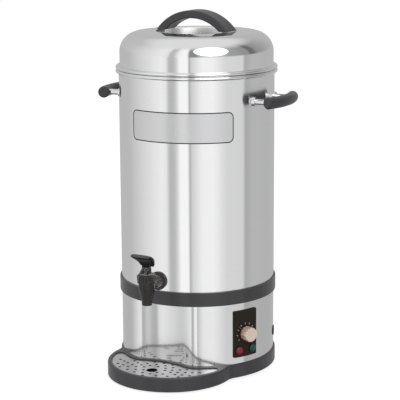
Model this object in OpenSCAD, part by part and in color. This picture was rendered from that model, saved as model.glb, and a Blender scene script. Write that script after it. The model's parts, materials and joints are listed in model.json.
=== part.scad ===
// Electric mulled wine boiler: a steel pot on a steel skirt and a moulded base,
// with a lift-off lid, a lever tap over a drip tray, and a thermostat panel.
// The body axis is upright, the tap points to -Y, and azimuths turn from the tap towards +X.

/* [Base] */
// How far the rubber feet stand out under the base
foot_h = 2; // [1:0.5:6]
// Diameter of each rubber foot
foot_d = 22; // [14:1:30]
// Height of the moulded base
base_h = 24; // [20:0.5:36]
// How far the base stands out round the skirt
base_ledge = 2.7; // [2.2:0.1:6]
// Radius of the drip lobe in front
lobe_r = 110; // [100:1:120]
// How far the lobe's centre lies inside the body's radius
lobe_back = 36.5; // [28:0.5:44]
// Fillet radius where the lobe meets the round base
neck_r = 28; // [15:1:45]
// Rounding of the base's upper outer edge
base_edge = 2.2; // [0.8:0.1:2.4]
// Width of the rim round the drip well
rim_w = 7.5; // [5:0.5:12]
// Width of the lip between the skirt and the drip well
lip_w = 5; // [4:0.5:10]
// Rounding of the drip well's two side corners
well_corner = 8; // [6:0.5:12]
// Thickness of the base's floor
base_floor = 8; // [7:0.5:10]
// Wall of the base inside the skirt
base_wall = 6; // [4:0.5:7]
// How far the edge of the base's service opening lies inside the body's radius
service_inset = 43; // [40:0.5:48]
// Thickness of the steel bottom plate
plate_t = 1.2; // [0.8:0.1:2]
// Depth of the bottom plate above the base's underside
plate_sink = 4; // [3:0.25:4.5]

/* [Drip grid] */
// Thickness of the perforated drip grid
grid_t = 1; // [0.8:0.1:2]
// Depth of the grid's top under the rim
grid_sink = 2; // [1.5:0.25:6]
// Width of the ledge that the grid lies on
grid_ledge = 4; // [2:0.5:5.5]
// Gap round the drip grid
grid_gap = 0.4; // [0.3:0.05:1]
// Diameter of the drain holes
drain_d = 5; // [3:0.25:6]
// Distance between drain holes
drain_pitch = 15; // [12:0.5:24]
// Diameter of the finger hole
finger_d = 19; // [16:0.5:26]
// Distance of the finger hole in front of the body
finger_out = 29; // [22:0.5:42]

/* [Shells] */
// Outer radius of the pot and the skirt
body_r = 135; // [128:0.5:142]
// Wall of the skirt
skirt_t = 0.8; // [0.6:0.1:1.5]
// Skirt height that shows between the base and the band
skirt_show = 107.4; // [100:0.2:140]
// Depth of the groove that the skirt stands in
skirt_seat = 3; // [2:0.25:5]
// Radius of the cup recess under the tap
cup_r = 115; // [105:1:135]
// Depth of the cup recess at its middle
cup_depth = 22; // [16:1:26]
// Rounding of the cup recess's upright edges
cup_edge = 30; // [20:1:36]
// Wall of the pot
pot_t = 1; // [0.8:0.1:2]
// Height of the pot from its floor to its rim
pot_h = 381.5; // [300:0.5:460]
// Radius between the pot's floor and wall
pot_corner = 9; // [5:0.5:14]
// Radius of the rounded ring on the pot's rim
bead_r = 3.2; // [2:0.1:5]

/* [Band] */
// Height of the trim band
band_h = 24; // [18:0.5:40]
// Thickness of the trim band
band_t = 3; // [2:0.25:5]
// Height of the band's rib above its lower edge
flange_up = 5.6; // [3:0.2:8]
// Thickness of the band's rib and of the ring that roofs the cup recess
flange_t = 2; // [1.5:0.25:3]
// Thickness of the pot's support ring
ring_t = 2; // [1.5:0.25:3]
// Radius of the rods that tie the shells together
rod_r = 2.5; // [2:0.25:3.5]

/* [Lid] */
// Gap between the pot and the lid's wall, which plugs into it
lid_gap = 0.8; // [0.5:0.1:3]
// Thickness of the lid's sheet
lid_t = 1; // [0.8:0.1:1.6]
// Depth that the lid's wall reaches into the pot
lid_plug = 12; // [6:0.5:24]
// Radius of the lid's rolled bead
lid_bead_r = 3; // [2:0.1:4]
// Height of the lid's wall from its bead to its shoulder
lid_wall_h = 29; // [20:0.5:40]
// Radius of the lid's shoulder
shoulder_r = 34; // [22:1:44]
// Rise of the crown from the shoulder to the well's ridge
crown_rise = 1.4; // [0.5:0.1:4]
// Radius of the ridge round the handle well
ridge_r = 72; // [70:0.5:78]
// Depth of the handle well under the ridge
well_depth = 17; // [12:0.5:22]
// Radius of the handle well's flat floor
well_floor_r = 59; // [58.5:0.25:60]

/* [Lid handle] */
// Length of the lid's handle strap from end to end
strap_l = 139.5; // [134:0.5:142]
// Width of the handle strap
strap_w = 36; // [24:1:40]
// Thickness of the handle strap
strap_t = 13.5; // [12.5:0.25:15]
// Height of the strap's top above the lid's ridge
strap_rise = 35; // [30:0.5:38]
// Thickness of the handle's steel brackets
bracket_t = 2; // [1.5:0.25:3]
// Width of the handle's steel brackets
bracket_w = 20; // [14:1:22]
// Distance of the bracket's upright from the lid's axis
bracket_x = 54.5; // [53.5:0.25:55]

/* [Side grips] */
// Diameter of the grip rods
grip_d = 20; // [16:0.5:24]
// Bend radius of the grip rods
grip_bend = 130; // [110:1:160]
// Distance between a grip's ends
grip_l = 100; // [86:1:130]
// Distance of a grip's middle from the body axis
grip_reach = 170; // [162:0.5:180]
// Drop of the grips below the pot's rim
grip_drop = 46.5; // [30:0.5:90]
// Half the distance between a grip's posts
post_y = 37; // [28:0.5:39]
// Diameter of the grip posts
post_d = 10; // [7:0.5:12]
// Diameter of the post's flange
post_flange_d = 16; // [13:0.5:20]
// Diameter of the post's stud through the wall
post_stud_d = 6; // [4:0.5:6.5]

/* [Tap] */
// Height of the tap's axis above the pot's floor
tap_up = 33; // [30:0.5:48]
// Distance of the spout's axis from the pot's wall
tap_reach = 42; // [38:0.5:52]
// Drop of the nozzle's mouth below the tap's axis
nozzle_drop = 33; // [28:0.5:36]
// Radius of the nozzle's mouth
nozzle_r = 8.5; // [7.5:0.25:10]
// Radius of the spout's upper body
spout_r = 14; // [13:0.25:15.5]
// Radius of the spout's collar
collar_r = 16; // [15.5:0.25:18]
// Radius of the nozzle's bore
nozzle_bore = 6; // [4:0.25:6.5]
// Radius of the valve chamber
chamber_r = 10.5; // [9:0.25:11.5]
// Radius of the threaded shank
shank_r = 9.8; // [8.5:0.1:11]
// Radius of the tap's wall flange
tap_flange_r = 16; // [14:0.5:19]
// Thickness of the tap's seals
seal_t = 2.5; // [2:0.25:4]
// Height of the bonnet above the collar
bonnet_h = 11; // [8:0.5:14]
// Radius of the valve stem
stem_r = 3; // [2.5:0.1:3.5]
// Radius of the lever's pin
pin_r = 1.5; // [1.2:0.1:1.8]
// Height of the lever's pin above the bonnet
pin_up = 6; // [5:0.25:8]
// Lift of the valve stem when the lever is pulled
stem_lift = 5; // [3:0.25:6]
// Angle that the lever is pulled through
lever_swing = 45; // [30:1:50]
// Width of the lever's fork
fork_w = 14; // [12:0.5:16]
// Width of the lever's paddle at its tip
paddle_w = 36; // [24:1:44]
// Length of the lever's paddle
paddle_l = 27; // [20:1:34]
// Thickness of the lever's paddle
paddle_t = 6.5; // [5:0.5:8]
// Lean of the paddle above the horizontal
paddle_lean = 50; // [35:1:75]

/* [Control panel] */
// Azimuth of the control panel
panel_az = 65.7; // [50:0.1:90]
// Width of the control panel
panel_w = 48.5; // [46:0.5:64]
// Height of the control panel
panel_h = 82; // [78:0.5:90]
// Thickness of the control panel
panel_t = 2.5; // [1.5:0.25:4]
// Corner radius of the control panel
panel_corner = 1.5; // [1:0.5:6]
// Height of the panel's middle above the base
panel_up = 52.8; // [46:0.2:60]
// Radius of the thermostat knob
knob_r = 13.5; // [12:0.25:15]
// Length of the thermostat knob
knob_l = 17; // [14:0.5:24]
// Radius of the thermostat's shaft
shaft_r = 3; // [2.5:0.1:3.5]
// Radius of the thermostat's threaded bush
bush_r = 5; // [4.5:0.25:6]
// Half the distance between the two lamps
lamp_x = 14; // [11:0.5:15]
// Drop of the lamps below the knob
lamp_drop = 29; // [26:0.5:31]
// Radius of the lamp lenses
lens_r = 6.2; // [4:0.1:7]
// Azimuth of the reset button
reset_az = 112; // [105:1:140]
// Height of the reset button above the base
reset_up = 30; // [26:1:85]
// Travel of the reset button
reset_travel = 1.5; // [1:0.1:2]

/* [Heating] */
// Radius of the heat spreader under the pot
spreader_r = 74; // [66:1:76]
// Thickness of the heat spreader
spreader_t = 4; // [3:0.5:6]
// Bend radius of the heating element
element_bend = 54; // [46:1:58]
// Radius of the heating element's tube
element_r = 4.2; // [3:0.1:5]
// Thickness of the clamp under the heating element
clamp_t = 2; // [1.5:0.25:4]
// Radius of the stud that holds the clamp
heater_stud_r = 4; // [3:0.25:6]

/* [Fits] */
// Clearance between pieces that are pushed together
fit = 0.2; // [0.15:0.05:0.3]
// Radial clearance of pieces that turn or slide on each other
run = 0.06; // [0.03:0.01:0.1]
// Gap under pieces that lift off
rest_gap = 0.3; // [0.2:0.05:0.5]

/* [Hidden] */
$fn = 96;
eps = 0.01;
far = 400;
// How far flanges on the round body start inside it, before its curve is cut from them
saddle = 2;

// Heights, from the floor up
base_z = foot_h;
deck_z = base_z + base_h;
floor_z = base_z + base_floor;
well_floor_t = 3;
plate_z = base_z + plate_sink;
skirt_z = deck_z - skirt_seat;
band_z = deck_z + skirt_show;
flange_z = band_z + flange_up;
ring_z = flange_z + flange_t;
pot_z = ring_z + ring_t;
rim_z = pot_z + pot_h;
grid_z = deck_z - grid_sink - grid_t;
ledge_z = grid_z - rest_gap;

// Plan of the base and the skirt
base_r = body_r + base_ledge;
lobe_y = body_r - lobe_back;
service_r = body_r - service_inset;
finger_y = body_r + finger_out;
// The neck's fillet web is a little proud of the circles that it joins, so that they cross
neck_lap = 0.05;
web_drop = 0.5;
band_in = body_r + fit;
band_r = band_in + band_t;
rib_in = body_r - skirt_t - 2;
tip_lap = 0.06;
cup_y = body_r - cup_depth + cup_r;
flange_in = body_r - cup_depth - base_wall;
plate_r = service_r + 7;
screw_pcr = (service_r + plate_r) / 2;
rod_pcr = service_r - 7;
ring_in = rod_pcr - 5;
vent_pitch = 10;
vent_w = 4;
vent_l = 60;

// Screws and feet
screw_r = 1.6;
screw_head_r = 3.2;
screw_head_h = 2;
screw_end = floor_z - 1.2;
rod_tip_r = rod_r - 0.5;
rod_z = base_z + 0.4;
tie_nut_h = plate_sink - 0.8;
foot_seat = 1.5;
foot_chamfer = 1;
foot_inset = foot_d / 2 + 5;
front_foot_az = 38;
rear_foot_az = 135;

// Cable gland at the back
gland_az = 180;
gland_z = deck_z + 24;
gland_out = 14;
gland_hex = 11;
gland_hex_t = 5;
gland_thread = 8;
gland_bore = 4;
gland_neck = 12;
terminal_l = 36;
terminal_w = 16;
terminal_h = 18;
terminal_r = 3;
terminal_gap = 4.2;
front_reach = lobe_y + lobe_r;
rear_reach = body_r + gland_out;
axis_y = (front_reach - rear_reach) / 2;

// Heating parts under the pot
spreader_z = pot_z - spreader_t;
element_z = spreader_z - element_r;
clamp_z = element_z - element_r - clamp_t;
clamp_nut_h = 7;
clamp_nut_r = 9;
heater_stud_z = clamp_z - clamp_nut_h - 3;
element_open = 24;
cold_end = 24;
cold_r = element_r - 0.6;
notch_w = 1.7 * element_bend;

// Lid
lid_r = body_r - pot_t - lid_gap;
lid_z = rim_z + rest_gap;
shoulder_z = lid_z + lid_wall_h;
crown_z = shoulder_z + shoulder_r;
ridge_z = crown_z + crown_rise;
well_z = ridge_z - well_depth;
ridge_round = 4;
well_round = 5;
strap_top = ridge_z + strap_rise;
strap_z = ridge_z + 2 * rest_gap;
strap_h = strap_top - strap_z;
strap_r = (strap_l * strap_l / 4 + strap_h * strap_h) / (2 * strap_h);
strap_c = strap_top - strap_r;
strap_a = asin(strap_l / 2 / strap_r) + 2;
bracket_foot = 16;
rivet_r = 2;
rivet_head = 1.2;
rivet_head_r = rivet_r + 2;
bead_c = body_r - pot_t + bead_r;
bead_web = 1.4;
bracket_h = 24;
strap_round = 2.5;

// Side grips
grip_z = rim_z - grip_drop;
grip_c = grip_reach - grip_bend;
grip_a = asin(grip_l / 2 / grip_bend);
grip_round = 2;
post_end = grip_c + sqrt(grip_bend * grip_bend - post_y * post_y);
post_wall = sqrt(body_r * body_r - post_y * post_y);
post_az = asin(post_y / body_r);
post_flange_t = 4.5;
post_sink = 3;
post_stud_l = 11;
post_start = post_wall - post_stud_l;
grip_nut_r = 7;
grip_nut_cap = 1;

// Tap, measured from the spout's axis
tap_z = pot_z + tap_up;
spout_y = body_r + tap_reach;
nozzle_z = tap_z - nozzle_drop;
seat_z = tap_z - 13;
collar_z = tap_z + 5;
collar_h = 5;
bonnet_z = collar_z + collar_h;
bonnet_top = bonnet_z + bonnet_h;
bonnet_r = collar_r + 0.5;
bonnet_plug = 3;
barrel_r = 9.8;
barrel_bore = 7;
tap_flange_t = 4;
shank_l = 16;
shank_start = body_r - pot_t - shank_l;
outer_seal_r = tap_flange_r - 0.6;
inner_seal_r = tap_flange_r - 1.5;
inner_seal_start = body_r - pot_t - seal_t - 1;
tap_nut_r = 15.5;
tap_nut_t = 7;
cup_rub_r = chamber_r - 0.8;
cup_rub_h = 11;
cup_rub_lip = 3;
pin_z = bonnet_top + pin_up;
cam_rise = stem_lift / (lever_swing * PI / 180);
cam_gap = rest_gap;
fork_slot = stem_r + 0.4;
slot_up = 5.2;
head_up = 9;
dish_r = 60;
dish_deep = 1.2;
bonnet_lobe = 3;
lobe_proud = 1.2;
bonnet_chamfer = 2;
stem_sink = 4;

// Control panel, measured along the radial line
panel_z = deck_z + panel_up;
lamp_z = panel_z - lamp_drop;
lamp_az = asin(lamp_x / body_r);
panel_back = body_r + fit;
panel_face = panel_back + panel_t;
bush_nut_t = 2;
bush_nut_r = bush_r + 3;
knob_back = panel_face + 0.8;
bezel_w = 1.2;
lens_neck = lens_r - 1.2;
thermostat_l = 26;
thermostat_r = 20;
thermostat_face = body_r - 4;
shaft_start = thermostat_face - thermostat_l + 4.5;
sensor_r = 3;
sensor_l = 40;
capillary_r = 1;
lamp_neck = 6;
lamp_l = 18;
bezel_h = 1.6;
lens_dome = 2.4;
knob_round = 2;
knob_taper = 0.6;
knob_crown = 3;
pointer_a = 140;
pointer_w = 2.4;
pointer_deep = 1.2;
reset_z = deck_z + reset_up;
reset_bezel_r = 9;
reset_bezel_t = 1;
reset_r = 4;
reset_proud = rest_gap;
reset_neck = 6;
reset_neck_r = reset_r + 1;
reset_start = body_r - reset_neck;
reset_sink = 2;
cutout_l = 22;
cutout_r = 10;

// Points on an arc in the plane, from one angle to another
function arc(c, r, a0, a1, n = 10) =
  [for (i = [0 : n]) let (a = a0 + (a1 - a0) * i / n) c + r * [cos(a), sin(a)]];
// Where circles of radius ra about the origin and rb about [0, -d] cross, on the +X side
function crossing(ra, rb, d) = let (y = (rb * rb - ra * ra - d * d) / (2 * d)) [sqrt(ra * ra - y * y), y];
function unit(v) = v / norm(v);
// A point and its mirror image across the tap's plane
function mirrored(p) = [p, [-p[0], p[1]]];

neck_c = crossing(base_r + neck_r, lobe_r + neck_r, lobe_y);
cup_edge_c = crossing(body_r - cup_edge, cup_r + cup_edge, cup_y);
well_c = crossing(body_r + lip_w + well_corner, lobe_r - rim_w - well_corner, lobe_y);

module placed() translate([0, axis_y, 0]) children();
module both_sides() {
  children();
  mirror([1, 0, 0]) children();
}
// Local +Z runs outward along the radial line at this azimuth and height, and local +Y runs up
module outward(az, z) rotate([0, 0, az]) translate([0, 0, z]) rotate([90, 0, 0]) children();
module at_spout() translate([0, -spout_y, 0]) children();
module tube(r_out, r_in, h) difference() {
  cylinder(r = r_out, h = h);
  translate([0, 0, -eps]) cylinder(r = r_in, h = h + 2 * eps);
}
module hexagon(r, h) cylinder(r = r, h = h, $fn = 6);
module body_cylinder(r) cylinder(r = r, h = 2 * far, $fn = 720);

// The sharp tip of an outline that a rounding about c takes off, just inside the directions u and v of
// the points where the rounding touches the outline
module tip(c, u, v, reach) {
  a = u + tip_lap * v;
  b = v + tip_lap * u;
  polygon([c, c + reach * a, c + reach * (a + b), c + reach * b]);
}

// Outline of the skirt, grown outward by o: a circle with a concave recess under the tap, whose
// upright edges are rounded
module skirt_outline(o = 0) {
  cup_c = [0, -cup_y];
  difference() {
    circle(body_r + o);
    translate(cup_c) circle(cup_r - o);
    for (c = mirrored(cup_edge_c)) tip(c, unit(c), unit(cup_c - c), 4 * (cup_edge + o));
  }
  for (c = mirrored(cup_edge_c)) translate(c) circle(cup_edge + o);
}

// Outline of the drip well, drawn in by i: the lobe's inside in front of the skirt, with round corners
module well_outline(i = 0) {
  lobe_c = [0, -lobe_y];
  difference() {
    translate(lobe_c) circle(lobe_r - rim_w - i);
    skirt_outline(lip_w + i);
    for (c = mirrored(well_c)) tip(c, -unit(c), unit(c - lobe_c), 4 * well_corner);
  }
  for (c = mirrored(well_c)) translate(c) circle(well_corner - i);
}

// Section of a disc of radius r and height h whose upper edge is rounded
module rounded_section(r, h, e) {
  square([r, h - e]);
  square([r - e, h]);
  translate([r - e, h - e]) circle(e);
}
// Block of the base: a round body and a drip lobe with rounded upper edges, and a fillet web in each neck,
// which stays a little below the rounding and above the underside
module base_block() {
  rotate_extrude() rounded_section(base_r, base_h, base_edge);
  translate([0, -lobe_y, 0]) rotate_extrude() rounded_section(lobe_r, base_h, base_edge);
  both_sides() translate([0, 0, web_drop]) linear_extrude(base_h - base_edge - 2 * web_drop) difference() {
    polygon([[0, 0], neck_c, [0, -lobe_y]]);
    translate(neck_c) circle(neck_r - neck_lap);
  }
}

module screw_places() for (a = [0 : 60 : 300])
  rotate([0, 0, a]) translate([screw_pcr, 0, 0]) children();
module rod_places() for (a = [30 : 120 : 270])
  rotate([0, 0, a]) translate([rod_pcr, 0, 0]) children();
module foot_places() both_sides() {
  translate([0, -lobe_y, 0]) rotate([0, 0, front_foot_az]) translate([0, foot_inset - lobe_r, 0]) children();
  rotate([0, 0, rear_foot_az]) translate([0, foot_inset - base_r, 0]) children();
}

module base() color("#3a3a3d") placed() difference() {
  translate([0, 0, base_z]) base_block();
  // hollow under the skirt, and the groove for the skirt's lower edge
  translate([0, 0, floor_z]) linear_extrude(far) skirt_outline(-base_wall);
  translate([0, 0, skirt_z]) linear_extrude(far) difference() {
    skirt_outline(fit);
    skirt_outline(-skirt_t - fit);
  }
  // drip well, with a ledge for its grid
  translate([0, 0, ledge_z]) linear_extrude(far) well_outline();
  translate([0, 0, base_z + well_floor_t]) linear_extrude(far) well_outline(grid_ledge);
  // service opening, closed by the bottom plate
  cylinder(r = service_r, h = far);
  cylinder(r = plate_r, h = plate_z + plate_t);
  screw_places() cylinder(r = screw_r + run, h = screw_end + fit);
  foot_places() cylinder(d = foot_d + 2 * fit, h = base_z + foot_seat);
}

module feet() color("#202022") placed() foot_places() rotate_extrude()
  polygon([[0, 0], [foot_d / 2 - foot_chamfer, 0], [foot_d / 2, foot_chamfer],
    [foot_d / 2, base_z + foot_seat], [0, base_z + foot_seat]]);

module bottom_plate() color("#b9bbbd") placed() translate([0, 0, plate_z]) difference() {
  cylinder(r = plate_r - fit, h = plate_t);
  screw_places() translate([0, 0, -eps]) cylinder(r = screw_r + fit, h = far);
  rod_places() translate([0, 0, -eps]) cylinder(r = rod_r + fit, h = far);
  for (i = [-4 : 4]) translate([i * vent_pitch - vent_w / 2, -vent_l / 2, -eps]) cube([vent_w, vent_l, far]);
}

module bottom_screws() color("#8d8f92") placed() screw_places() {
  translate([0, 0, plate_z - screw_head_h]) cylinder(r = screw_head_r, h = screw_head_h);
  translate([0, 0, plate_z - eps]) cylinder(r = screw_r, h = screw_end - plate_z);
}

module skirt() color("#c9cacb") placed() difference() {
  translate([0, 0, skirt_z]) linear_extrude(flange_z - skirt_z) difference() {
    skirt_outline();
    skirt_outline(-skirt_t);
  }
  outward(panel_az, panel_z) cylinder(r = bush_r + fit, h = far);
  lamp_places() cylinder(r = lens_neck + fit, h = far);
  outward(reset_az, reset_z) cylinder(r = reset_neck_r + fit, h = far);
  outward(gland_az, gland_z) cylinder(r = gland_thread + fit, h = far);
}

// Band round the joint of pot and skirt, with a rib that lies on the skirt's upper edge
module trim_band() color("#464648") placed() {
  translate([0, 0, band_z]) tube(band_r, band_in, band_h);
  translate([0, 0, flange_z]) tube(band_in + eps, rib_in, flange_t);
}
// Ring that roofs the cup recess, held under the support ring
module recess_roof() color("#464648") placed() translate([0, 0, flange_z])
  tube(rib_in - fit, flange_in, flange_t);

module support_ring() color("#a8aaad") placed() translate([0, 0, ring_z]) difference() {
  tube(body_r - fit, ring_in, ring_t);
  rod_places() translate([0, 0, -eps]) cylinder(r = rod_tip_r + fit, h = far);
}

// Rods that tie the support ring, and the shells below it, to the bottom plate
module tie_rods() color("#9a9c9f") placed() rod_places() {
  translate([0, 0, rod_z]) cylinder(r = rod_r, h = ring_z - rod_z);
  translate([0, 0, ring_z - eps]) cylinder(r = rod_tip_r, h = ring_t - fit);
}
module tie_nuts() color("#8d8f92") placed() rod_places() translate([0, 0, plate_z - tie_nut_h]) difference() {
  hexagon(2 * rod_r, tie_nut_h);
  translate([0, 0, -eps]) cylinder(r = rod_r + run, h = far);
}

// Pot: a drawn steel vessel with a round lower corner and the heater's stud
module pot() color("#d4d5d6") placed() difference() {
  union() {
    rotate_extrude()
      polygon(concat([[0, pot_z]], arc([body_r - pot_corner, pot_z + pot_corner], pot_corner, -90, 0),
        [[body_r, rim_z - 2 * bead_r], [body_r - pot_t, rim_z - 2 * bead_r]],
        arc([body_r - pot_corner, pot_z + pot_corner], pot_corner - pot_t, 0, -90), [[0, pot_z + pot_t]]));
    translate([0, 0, heater_stud_z]) cylinder(r = heater_stud_r, h = pot_z - heater_stud_z + eps);
  }
  outward(0, tap_z) cylinder(r = shank_r + fit, h = far);
  post_places() cylinder(d = post_stud_d + 2 * fit, h = far);
}

// Rounded ring welded to the pot's upper edge
module pot_rim() color("#d4d5d6") placed() rotate_extrude() {
  translate([bead_c, rim_z - bead_r]) circle(bead_r);
  translate([body_r - pot_t, rim_z - 2 * bead_r]) square([bead_r, 2 * bead_r]);
}

module heat_spreader() color("#bfc1c4") placed() translate([0, 0, spreader_z])
  tube(spreader_r, heater_stud_r + fit, spreader_t);

// Open ring of sheathed tube, with its two cold ends turned down
module heating_element() color("#6d6f72") placed() {
  translate([0, 0, element_z]) rotate([0, 0, 90 + element_open / 2])
    rotate_extrude(angle = 360 - element_open) translate([element_bend, 0]) circle(element_r);
  for (s = [-1, 1]) rotate([0, 0, 90 + s * (element_open / 2 + 4)])
    translate([element_bend, 0, element_z - cold_end]) cylinder(r = cold_r, h = cold_end);
}

// Plate that holds the element up, notched where the cold ends pass
module element_clamp() color("#9fa1a4") placed() translate([0, 0, clamp_z]) difference() {
  tube(element_bend + element_r, heater_stud_r + fit, clamp_t - fit / 2);
  translate([0, 0, -eps]) linear_extrude(far)
    polygon([[0, element_bend / 4], [-notch_w, 3 * element_bend], [notch_w, 3 * element_bend]]);
}
module clamp_nut() color("#8d8f92") placed() translate([0, 0, clamp_z - clamp_nut_h]) difference() {
  hexagon(clamp_nut_r, clamp_nut_h);
  translate([0, 0, -eps]) cylinder(r = heater_stud_r + run, h = far);
}

// Thermostat behind the panel, whose threaded bush comes through the skirt and the panel
module thermostat() color("#d8d5cc") placed() outward(panel_az, panel_z) difference() {
  union() {
    translate([0, 0, thermostat_face - thermostat_l]) cylinder(r = thermostat_r, h = thermostat_l);
    translate([0, 0, thermostat_face - eps])
      cylinder(r = bush_r, h = panel_face + bush_nut_t - thermostat_face);
  }
  translate([0, 0, shaft_start - rest_gap]) cylinder(r = shaft_r + run, h = far);
}
module thermostat_nut() color("#8d8f92") placed() outward(panel_az, panel_z) difference() {
  translate([0, 0, panel_face]) hexagon(bush_nut_r, bush_nut_t);
  cylinder(r = bush_r + run, h = far);
}
module thermostat_shaft() color("#b9bbbd") placed() outward(panel_az, panel_z)
  translate([0, 0, shaft_start])
    cylinder(r = shaft_r, h = knob_back + knob_l - knob_crown - rest_gap - shaft_start);

// Sensing bulb under the heat spreader, and its capillary down to the thermostat
module sensor_bulb() color("#b5794b") placed() rotate([0, 0, panel_az]) {
  bulb_y = spreader_r - 2 * sensor_r;
  bulb_z = spreader_z - sensor_r;
  drop_y = thermostat_face - thermostat_l / 2;
  drop_z = panel_z + thermostat_r;
  translate([-sensor_l / 2, -bulb_y, bulb_z]) rotate([0, 90, 0]) cylinder(r = sensor_r, h = sensor_l);
  translate([0, -bulb_y, bulb_z]) rotate([90, 0, 0]) cylinder(r = capillary_r, h = drop_y - bulb_y);
  translate([0, -drop_y, bulb_z]) sphere(1.4 * capillary_r);
  translate([0, -drop_y, drop_z]) cylinder(r = capillary_r, h = bulb_z - drop_z);
}

// Overheat switch behind the skirt, with a bore for the reset button's inner end
module cutout_switch() color("#2b2b2e") placed() outward(reset_az, reset_z) difference() {
  translate([0, 0, reset_start - cutout_l]) cylinder(r = cutout_r, h = cutout_l);
  translate([0, 0, reset_start - 2 * reset_sink]) cylinder(r = reset_r + run, h = far);
}
module reset_bezel() color("#303033") placed() difference() {
  union() {
    difference() {
      outward(reset_az, reset_z) translate([0, 0, body_r - saddle])
        cylinder(r = reset_bezel_r, h = reset_bezel_t + saddle);
      body_cylinder(body_r);
    }
    outward(reset_az, reset_z) translate([0, 0, reset_start]) cylinder(r = reset_neck_r, h = reset_neck + 1);
  }
  outward(reset_az, reset_z) cylinder(r = reset_r + run, h = far);
}
module reset_button() color("#1d1d1f") placed() outward(reset_az, reset_z)
  translate([0, 0, reset_start - reset_sink])
    cylinder(r = reset_r, h = reset_sink + reset_neck + reset_bezel_t + reset_proud);

// Screw terminals for the mains leads, on the base's floor
module terminal_block() color("#e6e2d8") placed() rotate([0, 0, 160])
  translate([-terminal_l / 2, -service_r - terminal_gap - terminal_w, floor_z]) difference() {
    cube([terminal_l, terminal_w, terminal_h]);
    for (i = [1, 3, 5]) translate([terminal_l * i / 6, terminal_w / 2, terminal_h / 2])
      cylinder(r = terminal_r, h = far);
  }

// Inlet for the mains lead
module cable_gland() color("#2a2a2c") placed() difference() {
  union() {
    difference() {
      outward(gland_az, gland_z) translate([0, 0, body_r - saddle]) hexagon(gland_hex, gland_hex_t + saddle);
      body_cylinder(body_r);
    }
    outward(gland_az, gland_z) translate([0, 0, body_r + gland_hex_t - eps])
      cylinder(r1 = gland_hex * 0.85, r2 = gland_bore + 2.5, h = gland_out - gland_hex_t + eps);
    outward(gland_az, gland_z) translate([0, 0, body_r - gland_neck])
      cylinder(r = gland_thread, h = gland_neck + 1);
  }
  outward(gland_az, gland_z) cylinder(r = gland_bore, h = far);
}
module gland_nut() color("#2a2a2c") placed() intersection() {
  outward(gland_az, gland_z) translate([0, 0, body_r - gland_neck + 3]) difference() {
    hexagon(gland_hex, gland_neck);
    translate([0, 0, -eps]) cylinder(r = gland_thread + run, h = far);
  }
  body_cylinder(body_r - skirt_t);
}

module lamp_places() for (s = [-1, 1]) outward(panel_az + s * lamp_az, lamp_z) children();
module rounded_square(w, h, r) {
  translate([r, 0]) square([w - 2 * r, h]);
  translate([0, r]) square([w, h - 2 * r]);
  for (x = [r, w - r], y = [r, h - r]) translate([x, y]) circle(r);
}

// Panel that follows the skirt's curve
module fascia() color("#2c271f") placed() difference() {
  intersection() {
    difference() {
      body_cylinder(panel_face);
      body_cylinder(panel_back);
    }
    outward(panel_az, panel_z) linear_extrude(far) translate([-panel_w / 2, -panel_h / 2])
      rounded_square(panel_w, panel_h, panel_corner);
  }
  outward(panel_az, panel_z) cylinder(r = bush_r + fit, h = far);
  lamp_places() cylinder(r = lens_neck + fit, h = far);
}
module lamp_bezels() color("#1c1c1e") placed() lamp_places() translate([0, 0, panel_face])
  tube(lens_r + bezel_w, lens_r + run, bezel_h);

// Domed lens with a neck through the panel and the skirt
module lens() {
  dome_r = (lens_r * lens_r + lens_dome * lens_dome) / (2 * lens_dome);
  translate([0, 0, panel_face]) rotate_extrude() intersection() {
    translate([0, bezel_h + lens_dome - dome_r]) circle(dome_r);
    square([lens_r, far]);
  }
  translate([0, 0, body_r - lamp_neck]) cylinder(r = lens_neck, h = panel_face - body_r + lamp_neck + eps);
}
module red_lens() color("#b2263e") placed() outward(panel_az - lamp_az, lamp_z) lens();
module green_lens() color("#186455") placed() outward(panel_az + lamp_az, lamp_z) lens();
module lamp_bodies() color("#e6e2d8") placed() lamp_places() translate([0, 0, body_r - lamp_neck - lamp_l])
  cylinder(r = lens_neck + 1, h = lamp_l);

// Knob: a cupped cap with a pointer groove across half of its face
module knob() color("#e0cdb8") placed() outward(panel_az, panel_z) translate([0, 0, knob_back]) difference() {
  rotate_extrude() polygon(concat([[0, 0], [knob_r, 0]],
    arc([knob_r - knob_taper - knob_round, knob_l - knob_round], knob_round, 0, 90, 6), [[0, knob_l]]));
  translate([0, 0, -eps]) cylinder(r = bush_nut_r + 1, h = bush_nut_t + knob_taper);
  translate([0, 0, -eps]) cylinder(r = shaft_r + run, h = knob_l - knob_crown);
  rotate([0, 0, pointer_a]) translate([knob_r * 0.35, -pointer_w / 2, knob_l - pointer_deep])
    cube([knob_r, pointer_w, far]);
}

// Tap body: spout with a tapered nozzle, wall flange and threaded shank, bored through
module tap_body() color("#2a2524") placed() difference() {
  union() {
    at_spout() rotate_extrude() polygon([[0, nozzle_z], [nozzle_r, nozzle_z], [nozzle_r + 0.6, nozzle_z + 8],
      [spout_r, collar_z - 8], [spout_r, collar_z], [collar_r, collar_z + 1], [collar_r, bonnet_z],
      [0, bonnet_z]]);
    outward(0, tap_z) {
      translate([0, 0, body_r + seal_t]) cylinder(r = tap_flange_r, h = tap_flange_t);
      translate([0, 0, body_r + seal_t]) cylinder(r = barrel_r, h = tap_reach - seal_t);
      translate([0, 0, shank_start]) cylinder(r = shank_r, h = body_r + seal_t - shank_start + eps);
    }
  }
  at_spout() {
    translate([0, 0, nozzle_z - 1]) cylinder(r = nozzle_bore, h = seat_z - nozzle_z + 2);
    translate([0, 0, seat_z]) cylinder(r = chamber_r, h = far);
  }
  outward(0, tap_z) translate([0, 0, shank_start - 1])
    cylinder(r = barrel_bore, h = spout_y - shank_start + 1);
}
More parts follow.
